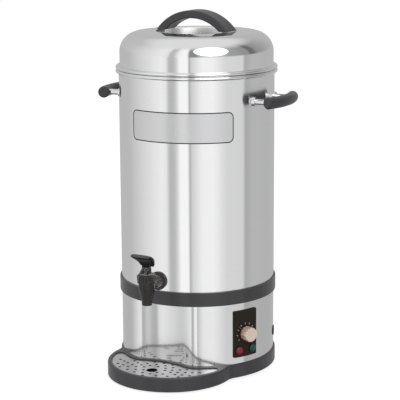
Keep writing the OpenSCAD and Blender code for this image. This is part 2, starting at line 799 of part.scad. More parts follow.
module tap_outer_seal() color("#3b3634") placed() difference() {
  outward(0, tap_z) translate([0, 0, body_r - saddle]) cylinder(r = outer_seal_r, h = seal_t + saddle);
  body_cylinder(body_r);
  outward(0, tap_z) cylinder(r = shank_r + fit, h = far);
}
module tap_inner_seal() color("#d9d6d0") placed() difference() {
  intersection() {
    outward(0, tap_z) translate([0, 0, inner_seal_start]) cylinder(r = inner_seal_r, h = far);
    body_cylinder(body_r - pot_t);
  }
  outward(0, tap_z) cylinder(r = shank_r + fit, h = far);
}
module tap_nut() color("#2a2524") placed() outward(0, tap_z) difference() {
  translate([0, 0, inner_seal_start - tap_nut_t]) hexagon(tap_nut_r, tap_nut_t);
  cylinder(r = shank_r + run, h = far);
}

// Bonnet: a lobed cap that guides the stem and closes the valve chamber
module tap_bonnet() color("#2a2524") placed() at_spout() difference() {
  union() {
    translate([0, 0, bonnet_z]) rotate_extrude() polygon([[0, 0], [bonnet_r - lobe_proud, 0],
      [bonnet_r - lobe_proud, bonnet_h - bonnet_chamfer], [bonnet_r - lobe_proud - bonnet_chamfer, bonnet_h],
      [0, bonnet_h]]);
    for (a = [0 : 45 : 315]) rotate([0, 0, a + 22.5]) translate([bonnet_r - bonnet_lobe, 0, bonnet_z])
      cylinder(r = bonnet_lobe, h = bonnet_h - bonnet_chamfer - 0.5);
    translate([0, 0, bonnet_z - bonnet_plug]) cylinder(r = chamber_r - fit, h = bonnet_plug + eps);
  }
  translate([0, 0, bonnet_z - bonnet_plug - 1]) cylinder(r = stem_r + run, h = far);
}

module valve_stem() color("#3a3433") placed() at_spout() difference() {
  translate([0, 0, seat_z + stem_sink])
    cylinder(r = stem_r, h = pin_z + 2 * pin_r + 0.5 - seat_z - stem_sink);
  translate([0, 0, pin_z]) rotate([0, 90, 0]) cylinder(r = pin_r + run, h = far, center = true);
}
// Rubber cup that closes the nozzle's bore
module seat_cup() color("#c9c4ba") placed() at_spout() translate([0, 0, seat_z + rest_gap]) difference() {
  rotate_extrude()
    polygon([[0, 0], [cup_rub_r, 0], [cup_rub_r, cup_rub_lip], [2 * stem_r, cup_rub_h], [0, cup_rub_h]]);
  translate([0, 0, stem_sink - rest_gap]) cylinder(r = stem_r + run, h = far);
}
module lever_pin() color("#b9bbbd") placed() at_spout() translate([0, 0, pin_z]) rotate([0, 90, 0])
  cylinder(r = pin_r, h = fork_w - 1, center = true);

// Point of the lever's cam foot that bears on the bonnet at tilt t: the foot is an involute, so the stem
// rises in proportion to the tilt
function cam_point(t) = (pin_up - cam_gap + cam_rise * t * PI / 180) * [-sin(t), -cos(t)]
  + cam_rise * [-cos(t), sin(t)];

// Lever: a fork over the stem with two cam feet, and a dished paddle
module tap_lever() color("#262120") placed() at_spout() translate([0, 0, pin_z]) {
  difference() {
    rotate([90, 0, 90]) linear_extrude(fork_w, center = true) polygon(concat([[4.5, cam_gap - pin_up]],
      [for (i = [0 : 9]) cam_point(lever_swing * i / 9)],
      [[-9, 2], [-6, 4.5], [-3, head_up], [2.5, head_up], [5.5, head_up - 3], [5.5, -2]]));
    translate([-fork_slot, -far / 2, -far]) cube([2 * fork_slot, far, far + slot_up]);
    rotate([0, 90, 0]) cylinder(r = pin_r + run, h = far, center = true);
  }
  translate([0, -1.5, slot_up + 0.5]) rotate([180 - paddle_lean, 0, 0]) difference() {
    linear_extrude(paddle_t, center = true) paddle_outline();
    translate([0, paddle_l * 0.6, dish_deep - dish_r - paddle_t / 2]) rotate([0, 90, 0])
      cylinder(r = dish_r, h = far, center = true);
  }
}
// Spade outline of the paddle, widening from the fork to a round-cornered tip
module paddle_outline() {
  r = paddle_w / 5;
  polygon(concat([[-fork_w / 2, 0], [fork_w / 2, 0]], arc([paddle_w / 2 - r, paddle_l - r], r, -25, 90, 6),
    arc([r - paddle_w / 2, paddle_l - r], r, 90, 205, 6)));
}

// What a chamfer takes off the end of a grip rod, whose end face is at local z = 0
module end_chamfer() translate([0, 0, -grip_round - 1]) difference() {
  cylinder(d = 2 * grip_d, h = grip_round + 2);
  cylinder(r1 = grip_d / 2 + 1, r2 = grip_d / 2 - grip_round - 1, h = grip_round + 2);
}
// Grip rod bent to an arc, with chamfered ends and blind bores for its two posts
module grip() difference() {
  translate([grip_c, 0, grip_z]) {
    difference() {
      rotate([0, 0, -grip_a]) rotate_extrude(angle = 2 * grip_a)
        translate([grip_bend, 0]) circle(d = grip_d);
      for (s = [-1, 1]) rotate([0, 0, s * grip_a]) translate([grip_bend, 0, 0])
        rotate([-90 * s, 0, 0]) end_chamfer();
    }
  }
  for (s = [-1, 1]) translate([0, s * post_y, grip_z]) rotate([0, 90, 0])
    cylinder(d = post_d + 2 * fit, h = post_end + post_sink + fit);
}
module right_grip() color("#464648") placed() grip();
module left_grip() color("#464648") placed() mirror([1, 0, 0]) grip();

// Local +Z runs outward along X through each post
module post_places() for (sx = [-1, 1], sy = [-1, 1])
  translate([0, sy * post_y, grip_z]) rotate([0, sx * 90, 0]) children();
// Posts whose flanges have flat faces that touch the pot
module grip_posts() color("#c4c5c7") placed() {
  difference() {
    post_places() {
      translate([0, 0, post_start]) cylinder(d = post_flange_d, h = post_stud_l + post_flange_t);
      translate([0, 0, post_wall]) cylinder(d = post_d, h = post_end + post_sink - post_wall);
    }
    for (sx = [0, 180], sy = [-1, 1]) rotate([0, 0, sx + sy * post_az])
      translate([body_r - post_flange_d, -post_flange_d, grip_z - post_flange_d])
        cube([post_flange_d, 2 * post_flange_d, 2 * post_flange_d]);
  }
  post_places() translate([0, 0, post_start]) cylinder(d = post_stud_d, h = post_stud_l + post_flange_t);
}
module grip_nuts() color("#b9bbbd") placed() intersection() {
  post_places() difference() {
    translate([0, 0, post_start - grip_nut_cap]) hexagon(grip_nut_r, post_stud_l);
    translate([0, 0, post_start - fit]) cylinder(d = post_stud_d + 2 * run, h = far);
  }
  body_cylinder(body_r - pot_t);
}

// Drain holes on arcs that follow the cup recess, kept clear of the grid's edge and the finger hole
drain_margin = drain_d / 2 + 4;
drain_fan = 80;
function drain_inside(p) = norm(p + [0, lobe_y]) < lobe_r - rim_w - grid_gap - drain_margin
  && norm(p) > body_r + lip_w + grid_gap + drain_margin
  && norm([abs(p[0]), p[1]] - cup_edge_c) > cup_edge + lip_w + grid_gap + drain_margin
  && norm(p + [0, finger_y]) > (finger_d + drain_d) / 2 + 3;
drain_rows = [for (r = [cup_r - lip_w - grid_gap - drain_margin : -drain_pitch * 0.84 : 20]) r];
drains = [for (k = [0 : len(drain_rows) - 1], j = [-9 : 9]) let (r = drain_rows[k],
  t = (j + (k % 2) / 2) * drain_pitch / r * 180 / PI, p = [r * sin(t), r * cos(t) - cup_y])
  if (abs(t) < drain_fan && drain_inside(p)) p];

module drip_grid() color("#c2c3c5") placed() translate([0, 0, grid_z]) difference() {
  linear_extrude(grid_t) well_outline(grid_gap);
  for (p = drains) translate([p[0], p[1], -eps]) cylinder(d = drain_d, h = far, $fn = 16);
  translate([0, -finger_y, -eps]) cylinder(d = finger_d, h = far);
}

// Outline of the lid's dome on one face, drawn in by i: shoulder, crown, ridge and handle well
ridge_c = [ridge_r, ridge_z - ridge_round];
fillet_c = [well_floor_r, well_z + well_round];
well_wall_a = atan2(ridge_c[1] - fillet_c[1], ridge_c[0] - fillet_c[0])
  + acos(-(ridge_round + well_round) / norm(ridge_c - fillet_c));
function lid_face(i) = concat(arc([lid_r - shoulder_r, shoulder_z], shoulder_r - i, 0, 90, 12),
  arc(ridge_c, ridge_round - i, 90, well_wall_a, 5),
  arc(fillet_c, well_round + i, well_wall_a - 180, -90, 5), [[0, well_z - i]]);
function reversed(list) = [for (k = [len(list) - 1 : -1 : 0]) list[k]];

// Upright wall under the lid's dome, with the bead that rests on the pot
module lid_wall() color("#dcdddd") placed() rotate_extrude() {
  translate([lid_r - lid_t, lid_z - lid_plug]) square([lid_t, shoulder_z - lid_z + lid_plug]);
  translate([bead_c, lid_z + lid_bead_r]) circle(lid_bead_r);
  translate([lid_r - lid_t / 2, lid_z + lid_bead_r - bead_web / 2]) square([bead_c - lid_r, bead_web]);
}

module lid_shell() color("#dcdddd") placed() difference() {
  rotate_extrude() polygon(concat(lid_face(0), reversed(lid_face(lid_t))));
  rivet_places() cylinder(r = rivet_r + run, h = 2 * far);
}

module rivet_places() for (s = [-1, 1], y = [-1, 1])
  translate([s * (bracket_x - bracket_foot / 2), y * bracket_w / 4, 0]) children();

// Arched strap, cut level just above the lid's ridge, with slots for its brackets
module lid_handle() color("#464648") placed() difference() {
  translate([0, 0, strap_c]) rotate([90, 0, 0]) rotate([0, 0, 90 - strap_a])
    rotate_extrude(angle = 2 * strap_a) translate([strap_r - strap_t, -strap_w / 2])
      rounded_square(strap_t, strap_w, strap_round);
  translate([-far / 2, -far / 2, strap_z - far]) cube(far);
  both_sides() translate([bracket_x - fit, -bracket_w / 2 - fit, well_z])
    cube([bracket_t + 2 * fit, bracket_w + 2 * fit, bracket_h + fit]);
}
// Angle brackets riveted to the handle well's floor, which reach up into the strap
module lid_brackets() color("#c4c5c7") placed() both_sides() difference() {
  translate([bracket_x + bracket_t, -bracket_w / 2, well_z]) {
    translate([-bracket_t, 0, 0]) cube([bracket_t, bracket_w, bracket_h]);
    translate([-bracket_t - bracket_foot, 0, 0]) cube([bracket_foot + eps, bracket_w, bracket_t]);
  }
  rivet_places() cylinder(r = rivet_r + run, h = 2 * far);
}
module lid_rivets() color("#b0b2b4") placed() rivet_places() {
  translate([0, 0, well_z - lid_t - rivet_head]) cylinder(r = rivet_head_r, h = rivet_head);
  translate([0, 0, well_z - lid_t - eps]) cylinder(r = rivet_r, h = lid_t + bracket_t + 2 * eps);
  translate([0, 0, well_z + bracket_t]) cylinder(r1 = rivet_head_r, r2 = rivet_r, h = rivet_head);
}

base();
bottom_plate();
bottom_screws();
feet();
skirt();
trim_band();
support_ring();
recess_roof();
tie_rods();
tie_nuts();
pot();
pot_rim();
heat_spreader();
heating_element();
element_clamp();
clamp_nut();
thermostat();
thermostat_nut();
sensor_bulb();
cutout_switch();
reset_bezel();
terminal_block();
cable_gland();
gland_nut();
fascia();
lamp_bezels();
red_lens();
green_lens();
lamp_bodies();
tap_body();
tap_outer_seal();
tap_inner_seal();
tap_nut();
tap_bonnet();
left_grip();
right_grip();
grip_posts();
grip_nuts();
drip_grid();
lid_wall();
lid_shell();
lid_handle();
lid_brackets();
lid_rivets();
valve_stem();
seat_cup();
lever_pin();
tap_lever();
knob();
thermostat_shaft();
reset_button();
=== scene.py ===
"""Looks of an electric mulled wine boiler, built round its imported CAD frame.

All sizes are metres in the shared frame: +Z is up and the tap points to -Y. Plan points of the round
body are measured from its upright axis, with azimuths turning from the tap towards +X.
"""

from __future__ import annotations

import json
import logging
import math
from abc import ABC, abstractmethod
from collections.abc import Mapping, Sequence
from dataclasses import dataclass
from enum import Enum

import bmesh
import bpy
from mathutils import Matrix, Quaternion, Vector
from mathutils.geometry import tessellate_polygon


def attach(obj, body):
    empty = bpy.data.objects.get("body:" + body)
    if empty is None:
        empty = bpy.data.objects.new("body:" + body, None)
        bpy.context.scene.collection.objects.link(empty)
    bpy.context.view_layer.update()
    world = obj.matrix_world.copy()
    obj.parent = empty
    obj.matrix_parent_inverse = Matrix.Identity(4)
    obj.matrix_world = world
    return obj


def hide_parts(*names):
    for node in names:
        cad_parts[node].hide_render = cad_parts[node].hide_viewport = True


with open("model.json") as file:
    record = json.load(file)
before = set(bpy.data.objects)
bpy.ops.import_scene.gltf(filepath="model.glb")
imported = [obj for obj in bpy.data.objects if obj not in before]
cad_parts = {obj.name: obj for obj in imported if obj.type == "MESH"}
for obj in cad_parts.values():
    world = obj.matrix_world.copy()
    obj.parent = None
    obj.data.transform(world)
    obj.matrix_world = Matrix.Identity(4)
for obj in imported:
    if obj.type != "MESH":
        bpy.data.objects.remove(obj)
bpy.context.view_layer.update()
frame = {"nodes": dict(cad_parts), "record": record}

logging.basicConfig(level=logging.INFO, format="%(message)s")
LOG = logging.getLogger("boiler")

Colour = tuple[float, float, float]
Place = tuple[float, float, float]
Point = tuple[float, float]
Loop = list[Point]
Socket = bpy.types.NodeSocket
Vert = bmesh.types.BMVert
Piece = bpy.types.Object


def mm(value: float) -> float:
    """Return a length given in millimetres as metres."""
    return value / 1000.0


AXIS_Y = 0.02975
PANEL_AZ = math.radians(65.7)
PANEL_Z = mm(78.8)
KNOB_R = mm(140)
KNOB_AXIS = (math.sin(PANEL_AZ), -math.cos(PANEL_AZ), 0.0)
KNOB_CENTRE = (KNOB_R * KNOB_AXIS[0], AXIS_Y + KNOB_R * KNOB_AXIS[1], PANEL_Z)
# Directions in a section or a plan
UP, DOWN, OUT, IN = (0, 1), (0, -1), (1, 0), (-1, 0)
# Levels that a noise seldom leaves
NOISE_LOW, NOISE_HIGH = 0.25, 0.75
# Lengths that count as nothing
TINY = 1e-7


class Slot(str, Enum):
    """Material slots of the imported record."""

    BASE = "base_plastic"
    BAND = "band_plastic"
    GRIP = "grip_plastic"
    FOOT = "foot_rubber"
    SATIN = "satin_steel"
    POLISHED = "polished_steel"
    GRID = "grid_steel"
    POST = "post_steel"
    PLATED = "plated_steel"
    SPREADER = "spreader_aluminium"
    ELEMENT = "element_steel"
    INNER = "inner_plastic"
    COPPER = "capillary_copper"
    BLACK = "black_plastic"
    PANEL = "panel_film"
    RED = "red_lens"
    GREEN = "green_lens"
    TAP = "tap_plastic"
    SEAL = "seal_rubber"
    KNOB = "knob_metal"


class Grain(Enum):
    """Directions of a brushed grain, as noise cells per metre along X, Y and Z."""

    AROUND = (4.0, 4.0, 1900.0)
    ALONG_X = (6.0, 1500.0, 1500.0)
    DRAWN = (900.0, 900.0, 8.0)


class Ray(str, Enum):
    """Kinds of ray that the studio answers differently."""

    CAMERA = "Is Camera Ray"
    GLOSSY = "Is Glossy Ray"
    TRANSMISSION = "Is Transmission Ray"


def srgb(red: int, green: int, blue: int) -> Colour:
    """Return a screen colour, 0 to 255 a channel, as linear light."""

    def linear(level: int) -> float:
        """Return one channel as linear light."""
        share = level / 255.0
        return share / 12.92 if share <= 0.04045 else ((share + 0.055) / 1.055) ** 2.4

    return linear(red), linear(green), linear(blue)


def grey(level: float) -> tuple[float, float, float, float]:
    """Return an opaque grey."""
    return level, level, level, 1.0


class Nodes:
    """A node tree that is built up from empty."""

    def __init__(self, owner: bpy.types.ID) -> None:
        """Empty the tree of a material or a world."""
        owner.use_nodes = True
        self.tree = owner.node_tree
        self.tree.nodes.clear()

    def add(
        self, kind: str, inputs: Mapping[str | int, object] | None = None, **settings: object
    ) -> bpy.types.Node:
        """Add a node with its properties and its inputs.

        Args:
            kind: Blender's name of the node type, without the ShaderNode before it.
            inputs: Sockets to link or constants to set, by the name or number of the input.
            **settings: Properties of the node.

        Returns:
            The new node.
        """
        node = self.tree.nodes.new(f"ShaderNode{kind}")
        for key, value in settings.items():
            setattr(node, key, value)
        self.feed(node, inputs or {})
        return node

    def feed(self, node: bpy.types.Node, inputs: Mapping[str | int, object]) -> None:
        """Link sockets to a node's inputs, or set constants on them."""
        for key, value in inputs.items():
            if isinstance(value, bpy.types.NodeSocket):
                self.tree.links.new(value, node.inputs[key])
            else:
                node.inputs[key].default_value = value

    def maths(self, operation: str, *values: Socket | float) -> Socket:
        """Return the result of a math node."""
        return self.add("Math", dict(enumerate(values)), operation=operation).outputs[0]

    def vector(self, operation: str, *values: Socket | Place) -> Socket:
        """Return the vector that a vector math node gives."""
        return self.add("VectorMath", dict(enumerate(values)), operation=operation).outputs["Vector"]


class Shader(Nodes):
    """A material's node tree round one principled surface."""

    def __init__(self, name: str) -> None:
        """Start a new material with a plain surface."""
        self.material = bpy.data.materials.new(name)
        super().__init__(self.material)
        self.surface = self.add("BsdfPrincipled")
        self.add("OutputMaterial", {"Surface": self.surface.outputs["BSDF"]})

    def set(self, **values: object) -> None:
        """Set or link the surface's own inputs, with the spaces in their names written as underscores."""
        self.feed(self.surface, {key.replace("_", " "): value for key, value in values.items()})

    def place(self, cells: float | Sequence[float]) -> Socket:
        """Return the piece's own coordinates in cells per metre, alike for all axes or given for each."""
        scale = (cells,) * 3 if isinstance(cells, float) else tuple(cells)
        return self.vector("MULTIPLY", self.add("TexCoord").outputs["Object"], scale)

    def noise(self, cells: float | Sequence[float], detail: float = 2.0, rough: float = 0.55) -> Socket:
        """Return a noise level of about 0.5 over the piece, by cells per metre and finer octaves."""
        inputs = {"Vector": self.place(cells), "Scale": 1.0, "Detail": detail, "Roughness": rough}
        return self.add("TexNoise", inputs).outputs["Fac"]

    def tone(self, level: Socket, low: Colour, high: Colour) -> None:
        """Let the surface's colour go from one to another with a noise level."""
        ramp = self.add("ValToRGB", {"Fac": level})
        ends = zip(ramp.color_ramp.elements, (NOISE_LOW, NOISE_HIGH), (low, high))
        for end, place, colour in ends:
            end.position, end.color = place, (*colour, 1.0)
        self.set(Base_Color=ramp.outputs["Color"])

    def gloss(self, level: Socket, low: float, high: float) -> None:
        """Let the surface's roughness go from one value to another with a noise level."""
        span = {"From Min": NOISE_LOW, "From Max": NOISE_HIGH, "To Min": low, "To Max": high}
        self.set(Roughness=self.add("MapRange", {"Value": level, **span}).outputs["Result"])

    def relief(self, height: Socket, depth: float, strength: float) -> None:
        """Roughen the surface by a height level, over any relief that it has already.

        Args:
            height: The height level.
            depth: Height of one unit of the level, in metres.
            strength: Weight of the relief.
        """
        bump = self.add("Bump", {"Strength": strength, "Distance": depth, "Height": height})
        normal = self.surface.inputs["Normal"]
        if normal.is_linked:
            self.feed(bump, {"Normal": normal.links[0].from_socket})
        self.set(Normal=bump.outputs["Normal"])


@dataclass(frozen=True)
class Finish(ABC):
    """What one material slot looks like."""

    slot: Slot
    colour: Colour
    roughness: float

    @abstractmethod
    def dress(self, shader: Shader) -> None:
        """Add the finish's nodes to a shader."""

    def material(self, name: str = "") -> bpy.types.Material:
        """Return the finish as a new material, named after its slot if no name is given."""
        shader = Shader(name or self.slot.value)
        self.dress(shader)
        return shader.material

    def tone(self, shader: Shader, level: Socket, low: float, high: float) -> None:
        """Vary the colour with a noise level, between two shares of the finish's own."""
        shader.tone(level, *(tuple(channel * share for channel in self.colour) for share in (low, high)))

    def gloss(self, shader: Shader, level: Socket, low: float, high: float) -> None:
        """Vary the roughness with a noise level, between two shares of the finish's own."""
        shader.gloss(level, self.roughness * low, self.roughness * high)


@dataclass(frozen=True)
class MouldedPlastic(Finish):
    """Moulded plastic or rubber with a fine grain and cloudy variation of tone."""

    grain: float = mm(0.7)
    depth: float = mm(0.06)
    cloud: float = 0.10
    shine: float = 0.5

    def dress(self, shader: Shader) -> None:
        """Add tone, gloss and grain to the shader."""
        self.tone(shader, shader.noise(cells=22.0, detail=4.0), 1 - self.cloud, 1 + self.cloud)
        self.gloss(shader, shader.noise(cells=75.0, detail=5.0, rough=0.65), low=0.85, high=1.15)
        shader.relief(shader.noise(cells=1.0 / self.grain), self.depth, strength=0.45)
        shader.set(Specular_IOR_Level=self.shine)


@dataclass(frozen=True)
class BrushedMetal(Finish):
    """Metal with a brushed or drawn grain, which may be polished over it."""

    grain: Grain = Grain.AROUND
    depth: float = mm(0.01)
    stretch: float = 0.0
    turn: float = 0.25
    polish: float = 0.0
    streak: float = 0.16

    def dress(self, shader: Shader) -> None:
        """Add tone, streaks and brushed lines to the shader."""
        streaks = shader.noise([cells * self.streak for cells in self.grain.value], detail=3.0, rough=0.6)
        lines = shader.noise(self.grain.value, detail=3.0, rough=0.6)
        self.tone(shader, streaks, low=0.985, high=1.01)
        self.gloss(shader, lines, low=0.9, high=1.1)
        shader.relief(lines, self.depth, strength=0.35)
        shader.set(Metallic=1.0, Anisotropic=self.stretch, Anisotropic_Rotation=self.turn)
        if self.polish:
            shader.set(Coat_Weight=self.polish, Coat_Roughness=0.06, Coat_IOR=4.0)
        if self.stretch:
            tangent = shader.add("Tangent", direction_type="RADIAL", axis="Z")
            shader.set(Tangent=tangent.outputs["Tangent"])


@dataclass(frozen=True)
class PolishedSteel(Finish):
    """Mirror-polished sheet with faint wipe marks and a slight waviness."""

    wave: float = mm(0.5)
    spun: float = mm(0.004)

    def dress(self, shader: Shader) -> None:
        """Add wipe marks, waviness and a trace of spun lines to the shader."""
        wipe = shader.noise(cells=(16.0, 30.0, 40.0), detail=6.0, rough=0.65)
        self.tone(shader, wipe, low=0.975, high=1.015)
        self.gloss(shader, wipe, low=0.6, high=1.4)
        shader.relief(shader.noise(cells=9.0, detail=1.0), self.wave, strength=0.10)
        shader.relief(shader.noise(cells=(3.0, 3.0, 1400.0)), self.spun, strength=0.15)
        shader.set(Metallic=1.0)


@dataclass(frozen=True)
class TintedLens(Finish):
    """Clear tinted plastic over a fine prism pattern."""

    prism: float = mm(1.1)
    depth: float = mm(0.3)

    def dress(self, shader: Shader) -> None:
        """Add prism cells and a clear coat to the shader."""
        inputs = {"Vector": shader.place(1.0 / self.prism), "Scale": 1.0}
        cells = shader.add("TexVoronoi", inputs, feature="F1").outputs["Distance"]
        self.tone(shader, cells, low=1.25, high=0.6)
        shader.relief(cells, self.depth, strength=0.35)
        shader.set(Roughness=self.roughness, Specular_IOR_Level=0.25, Coat_Weight=0.15, Coat_Roughness=0.05)


@dataclass(frozen=True)
class TurnedMetal(Finish):
    """Anodised metal of the knob, with fine turned rings about its axis."""

    ring: float = mm(0.5)
    depth: float = mm(0.02)
    metal: float = 0.2

    def dress(self, shader: Shader) -> None:
        """Add rings by the distance from the axis to the shader."""
        arm = shader.vector("SUBTRACT", shader.add("TexCoord").outputs["Object"], KNOB_CENTRE)
        across = shader.vector("CROSS_PRODUCT", arm, KNOB_AXIS)
        reach = shader.add("VectorMath", {0: across}, operation="LENGTH").outputs["Value"]
        rings = shader.maths("SINE", shader.maths("MULTIPLY", reach, math.tau / self.ring))
        shader.relief(rings, self.depth, strength=0.25)
        cloud = shader.noise(cells=130.0, detail=4.0)
        self.tone(shader, cloud, low=0.95, high=1.04)
        self.gloss(shader, cloud, low=0.85, high=1.2)
        shader.set(Metallic=self.metal, Specular_IOR_Level=0.9)


@dataclass(frozen=True)
class Paint:
    """A printed, lacquered or stuck-on film, slightly uneven in tone and gloss."""

    name: str
    dark: Colour
    light: Colour
    rough: Point
    cells: float
    detail: float = 3.0
    depth: float = 0.0
    metal: float = 0.0

    def material(self) -> bpy.types.Material:
        """Return the paint as a new material."""
        shader = Shader(self.name)
        blot = shader.noise(self.cells, self.detail)
        shader.tone(blot, self.dark, self.light)
        shader.gloss(blot, *self.rough)
        if self.depth:
            shader.relief(blot, self.depth, strength=0.2)
        shader.set(Metallic=self.metal)
        return shader.material


FINISHES: tuple[Finish, ...] = (
    MouldedPlastic(Slot.BASE, srgb(62, 62, 65), 0.30, depth=mm(0.03)),
    MouldedPlastic(Slot.BAND, srgb(63, 63, 65), 0.24, depth=mm(0.015)),
    MouldedPlastic(Slot.GRIP, srgb(60, 60, 63), 0.32, depth=mm(0.04)),
    MouldedPlastic(Slot.FOOT, srgb(34, 34, 35), 0.8, depth=mm(0.1)),
    BrushedMetal(Slot.SATIN, (0.92, 0.92, 0.925), 0.12, Grain.AROUND, mm(0.002), stretch=1.0),
    PolishedSteel(Slot.POLISHED, (0.92, 0.92, 0.925), 0.055),
    BrushedMetal(Slot.GRID, (0.74, 0.74, 0.74), 0.30, Grain.ALONG_X, mm(0.006)),
    BrushedMetal(Slot.POST, (0.83, 0.83, 0.84), 0.14, Grain.DRAWN),
    BrushedMetal(Slot.PLATED, (0.62, 0.63, 0.65), 0.32, Grain.DRAWN),
    BrushedMetal(Slot.SPREADER, (0.72, 0.73, 0.74), 0.38, Grain.AROUND),
    BrushedMetal(Slot.ELEMENT, (0.20, 0.19, 0.20), 0.45, Grain.DRAWN),
    MouldedPlastic(Slot.INNER, srgb(214, 210, 200), 0.45),
    BrushedMetal(Slot.COPPER, (0.72, 0.38, 0.22), 0.28, Grain.DRAWN),
    MouldedPlastic(Slot.BLACK, srgb(33, 33, 35), 0.38),
    MouldedPlastic(Slot.PANEL, srgb(44, 38, 29), 0.5, depth=mm(0.01), cloud=0.05, shine=0.15),
    TintedLens(Slot.RED, srgb(178, 30, 54), 0.3),
    TintedLens(Slot.GREEN, srgb(14, 98, 82), 0.3),
    MouldedPlastic(Slot.TAP, srgb(36, 28, 28), 0.17, depth=mm(0.01), cloud=0.08, shine=0.46),
    MouldedPlastic(Slot.SEAL, srgb(62, 57, 55), 0.7),
    TurnedMetal(Slot.KNOB, srgb(250, 229, 213), 0.34),
)
# Finishes of single pieces or faces, which differ from the rest of their slot; the knob's side, the lever's
# faces and the lid's brackets carry painted light and shade
BRIGHT_SHEET = BrushedMetal(
    Slot.SATIN, (0.75, 0.75, 0.755), 0.13, Grain.AROUND, mm(0.001), stretch=1.0, polish=1.0
)
# Darker, more metallic copy of the knob's metal for its side: painted shade over a more metallic finish
KNOB_SHADED_SIDE = TurnedMetal(Slot.KNOB, srgb(240, 208, 182), 0.22, metal=0.35)
WELL_SHEET = BrushedMetal(Slot.POLISHED, (0.88, 0.88, 0.875), 0.34, Grain.AROUND, mm(0.002))
# Lighter, glossier copy of the tap's plastic: a painted sheen on the lever's top faces
LEVER_LIT_TOP = MouldedPlastic(Slot.TAP, srgb(56, 51, 55), 0.2, depth=mm(0.01), cloud=0.08, shine=1.0)
# Darker, duller copy of the tap's plastic: painted shade on the lever's lower faces
LEVER_PAINTED_SHADE = MouldedPlastic(Slot.TAP, srgb(20, 16, 17), 0.32, depth=mm(0.02), cloud=0.08, shine=0.14)
# Darkened steel for the lid's brackets: a painted dark reflection
BRACKET_PAINTED_DARK = BrushedMetal(Slot.POST, (0.42, 0.42, 0.43), 0.24, Grain.DRAWN)
FILM = Paint(
    "label_film", (0.76, 0.76, 0.77), (0.80, 0.80, 0.81), (0.20, 0.26), 900.0, 2.0, mm(0.004), metal=0.55
)
BORDER_INK = Paint("label_ink", srgb(24, 26, 32), srgb(38, 40, 46), (0.30, 0.42), 420.0)
LACQUER = Paint("pointer_lacquer", srgb(104, 66, 74), srgb(124, 80, 88), (0.30, 0.40), 600.0)
DIAL_INK = Paint("dial_ink", srgb(205, 200, 196), srgb(226, 222, 218), (0.35, 0.45), 900.0)


class Wardrobe:
    """The materials of all slots, made once."""

    def __init__(self, finishes: Sequence[Finish]) -> None:
        """Make a material for each finish, one for each slot."""
        self.materials = {finish.slot: finish.material() for finish in finishes}

    def dress(self, piece: Piece, slot: Slot) -> None:
        """Give a piece the material of a slot."""
        piece.data.materials.clear()
        piece.data.materials.append(self.materials[slot])


def chained(*runs: Loop) -> Loop:
    """Return runs of points as one, without the points where they meet twice."""
    points: Loop = []
    for run in runs:
        for point in run:
            if not points or math.dist(points[-1], point) > TINY:
                points.append(point)
    return points


def arc(centre: Point, radius: float, *through: Point, steps: int) -> Loop:
    """Return points along an arc, each leg of it the short way round.

    Args:
        centre: Centre of the arc.
        radius: Its radius.
        *through: Directions from the centre at which its legs start and end.
        steps: Number of equal steps in each leg.

    Returns:
        The points, both ends among them.
    """
    angles: list[float] = []
    for start, end in zip(through, through[1:]):
        first = math.atan2(start[1], start[0])
        sweep = (math.atan2(end[1], end[0]) - first + math.pi) % math.tau - math.pi
        angles += [first + sweep * k / steps for k in range(steps + 1)]
    return chained([(centre[0] + radius * math.cos(a), centre[1] + radius * math.sin(a)) for a in angles])


def circle(radius: float, steps: int, middle: Point = (0.0, 0.0)) -> Loop:
    """Return a circle of points round a middle."""
    turns = [math.tau * k / steps for k in range(steps)]
    return [(middle[0] + radius * math.cos(t), middle[1] + radius * math.sin(t)) for t in turns]


def mirrored(half: Loop) -> Loop:
    """Return the closed outline whose +X half runs from the back to the front."""
    return half + [(-x, y) for x, y in reversed(half[1:-1])]


def eased(half: Loop, reach: float = mm(8), count: int = 320) -> Loop:
    """Return the +X half of a mirrored outline in even steps, with its bends eased into each other.

    Args:
        half: Points from the back to the front, with both ends on the mirror line.
        reach: How far along the outline a bend is spread.
        count: Number of even steps.

    Returns:
        The eased half.
    """
    ends = [0.0]
    for a, b in zip(half, half[1:]):
        ends.append(ends[-1] + math.dist(a, b))
    step = ends[-1] / count
    even: Loop = []
    leg = 0
    for k in range(count + 1):
        along = step * k
        while leg < len(half) - 2 and ends[leg + 1] < along:
            leg += 1
        share = (along - ends[leg]) / (ends[leg + 1] - ends[leg])
        (ax, ay), (bx, by) = half[leg], half[leg + 1]
        even.append((ax + (bx - ax) * share, ay + (by - ay) * share))
    # Further than three times the reach, the weights are next to nothing
    wide = math.ceil(3 * reach / step)
    weights = [math.exp(-0.5 * (j * step / reach) ** 2) for j in range(-wide, wide + 1)]
    total = sum(weights)
    long = [(-x, y) for x, y in even[wide:0:-1]] + even + [(-x, y) for x, y in even[-2 : -wide - 2 : -1]]
    return [
        tuple(sum(w * point[axis] for w, point in zip(weights, long[k:])) / total for axis in (0, 1))
        for k in range(count + 1)
    ]


def crossing(ra: float, rb: float, gap: float) -> Point:
    """Return where a circle about the origin crosses one about (0, -gap), on the +X side."""
    y = (rb * rb - ra * ra - gap * gap) / (2 * gap)
    return math.sqrt(ra * ra - y * y), y


def inside(point: Point, loop: Loop) -> bool:
    """Return whether a plan point lies inside a closed outline."""
    x, y = point
    odd = False
    for (ax, ay), (bx, by) in zip(loop, loop[1:] + loop[:1]):
        if (ay > y) != (by > y) and x < ax + (bx - ax) * (y - ay) / (by - ay):
            odd = not odd
    return odd


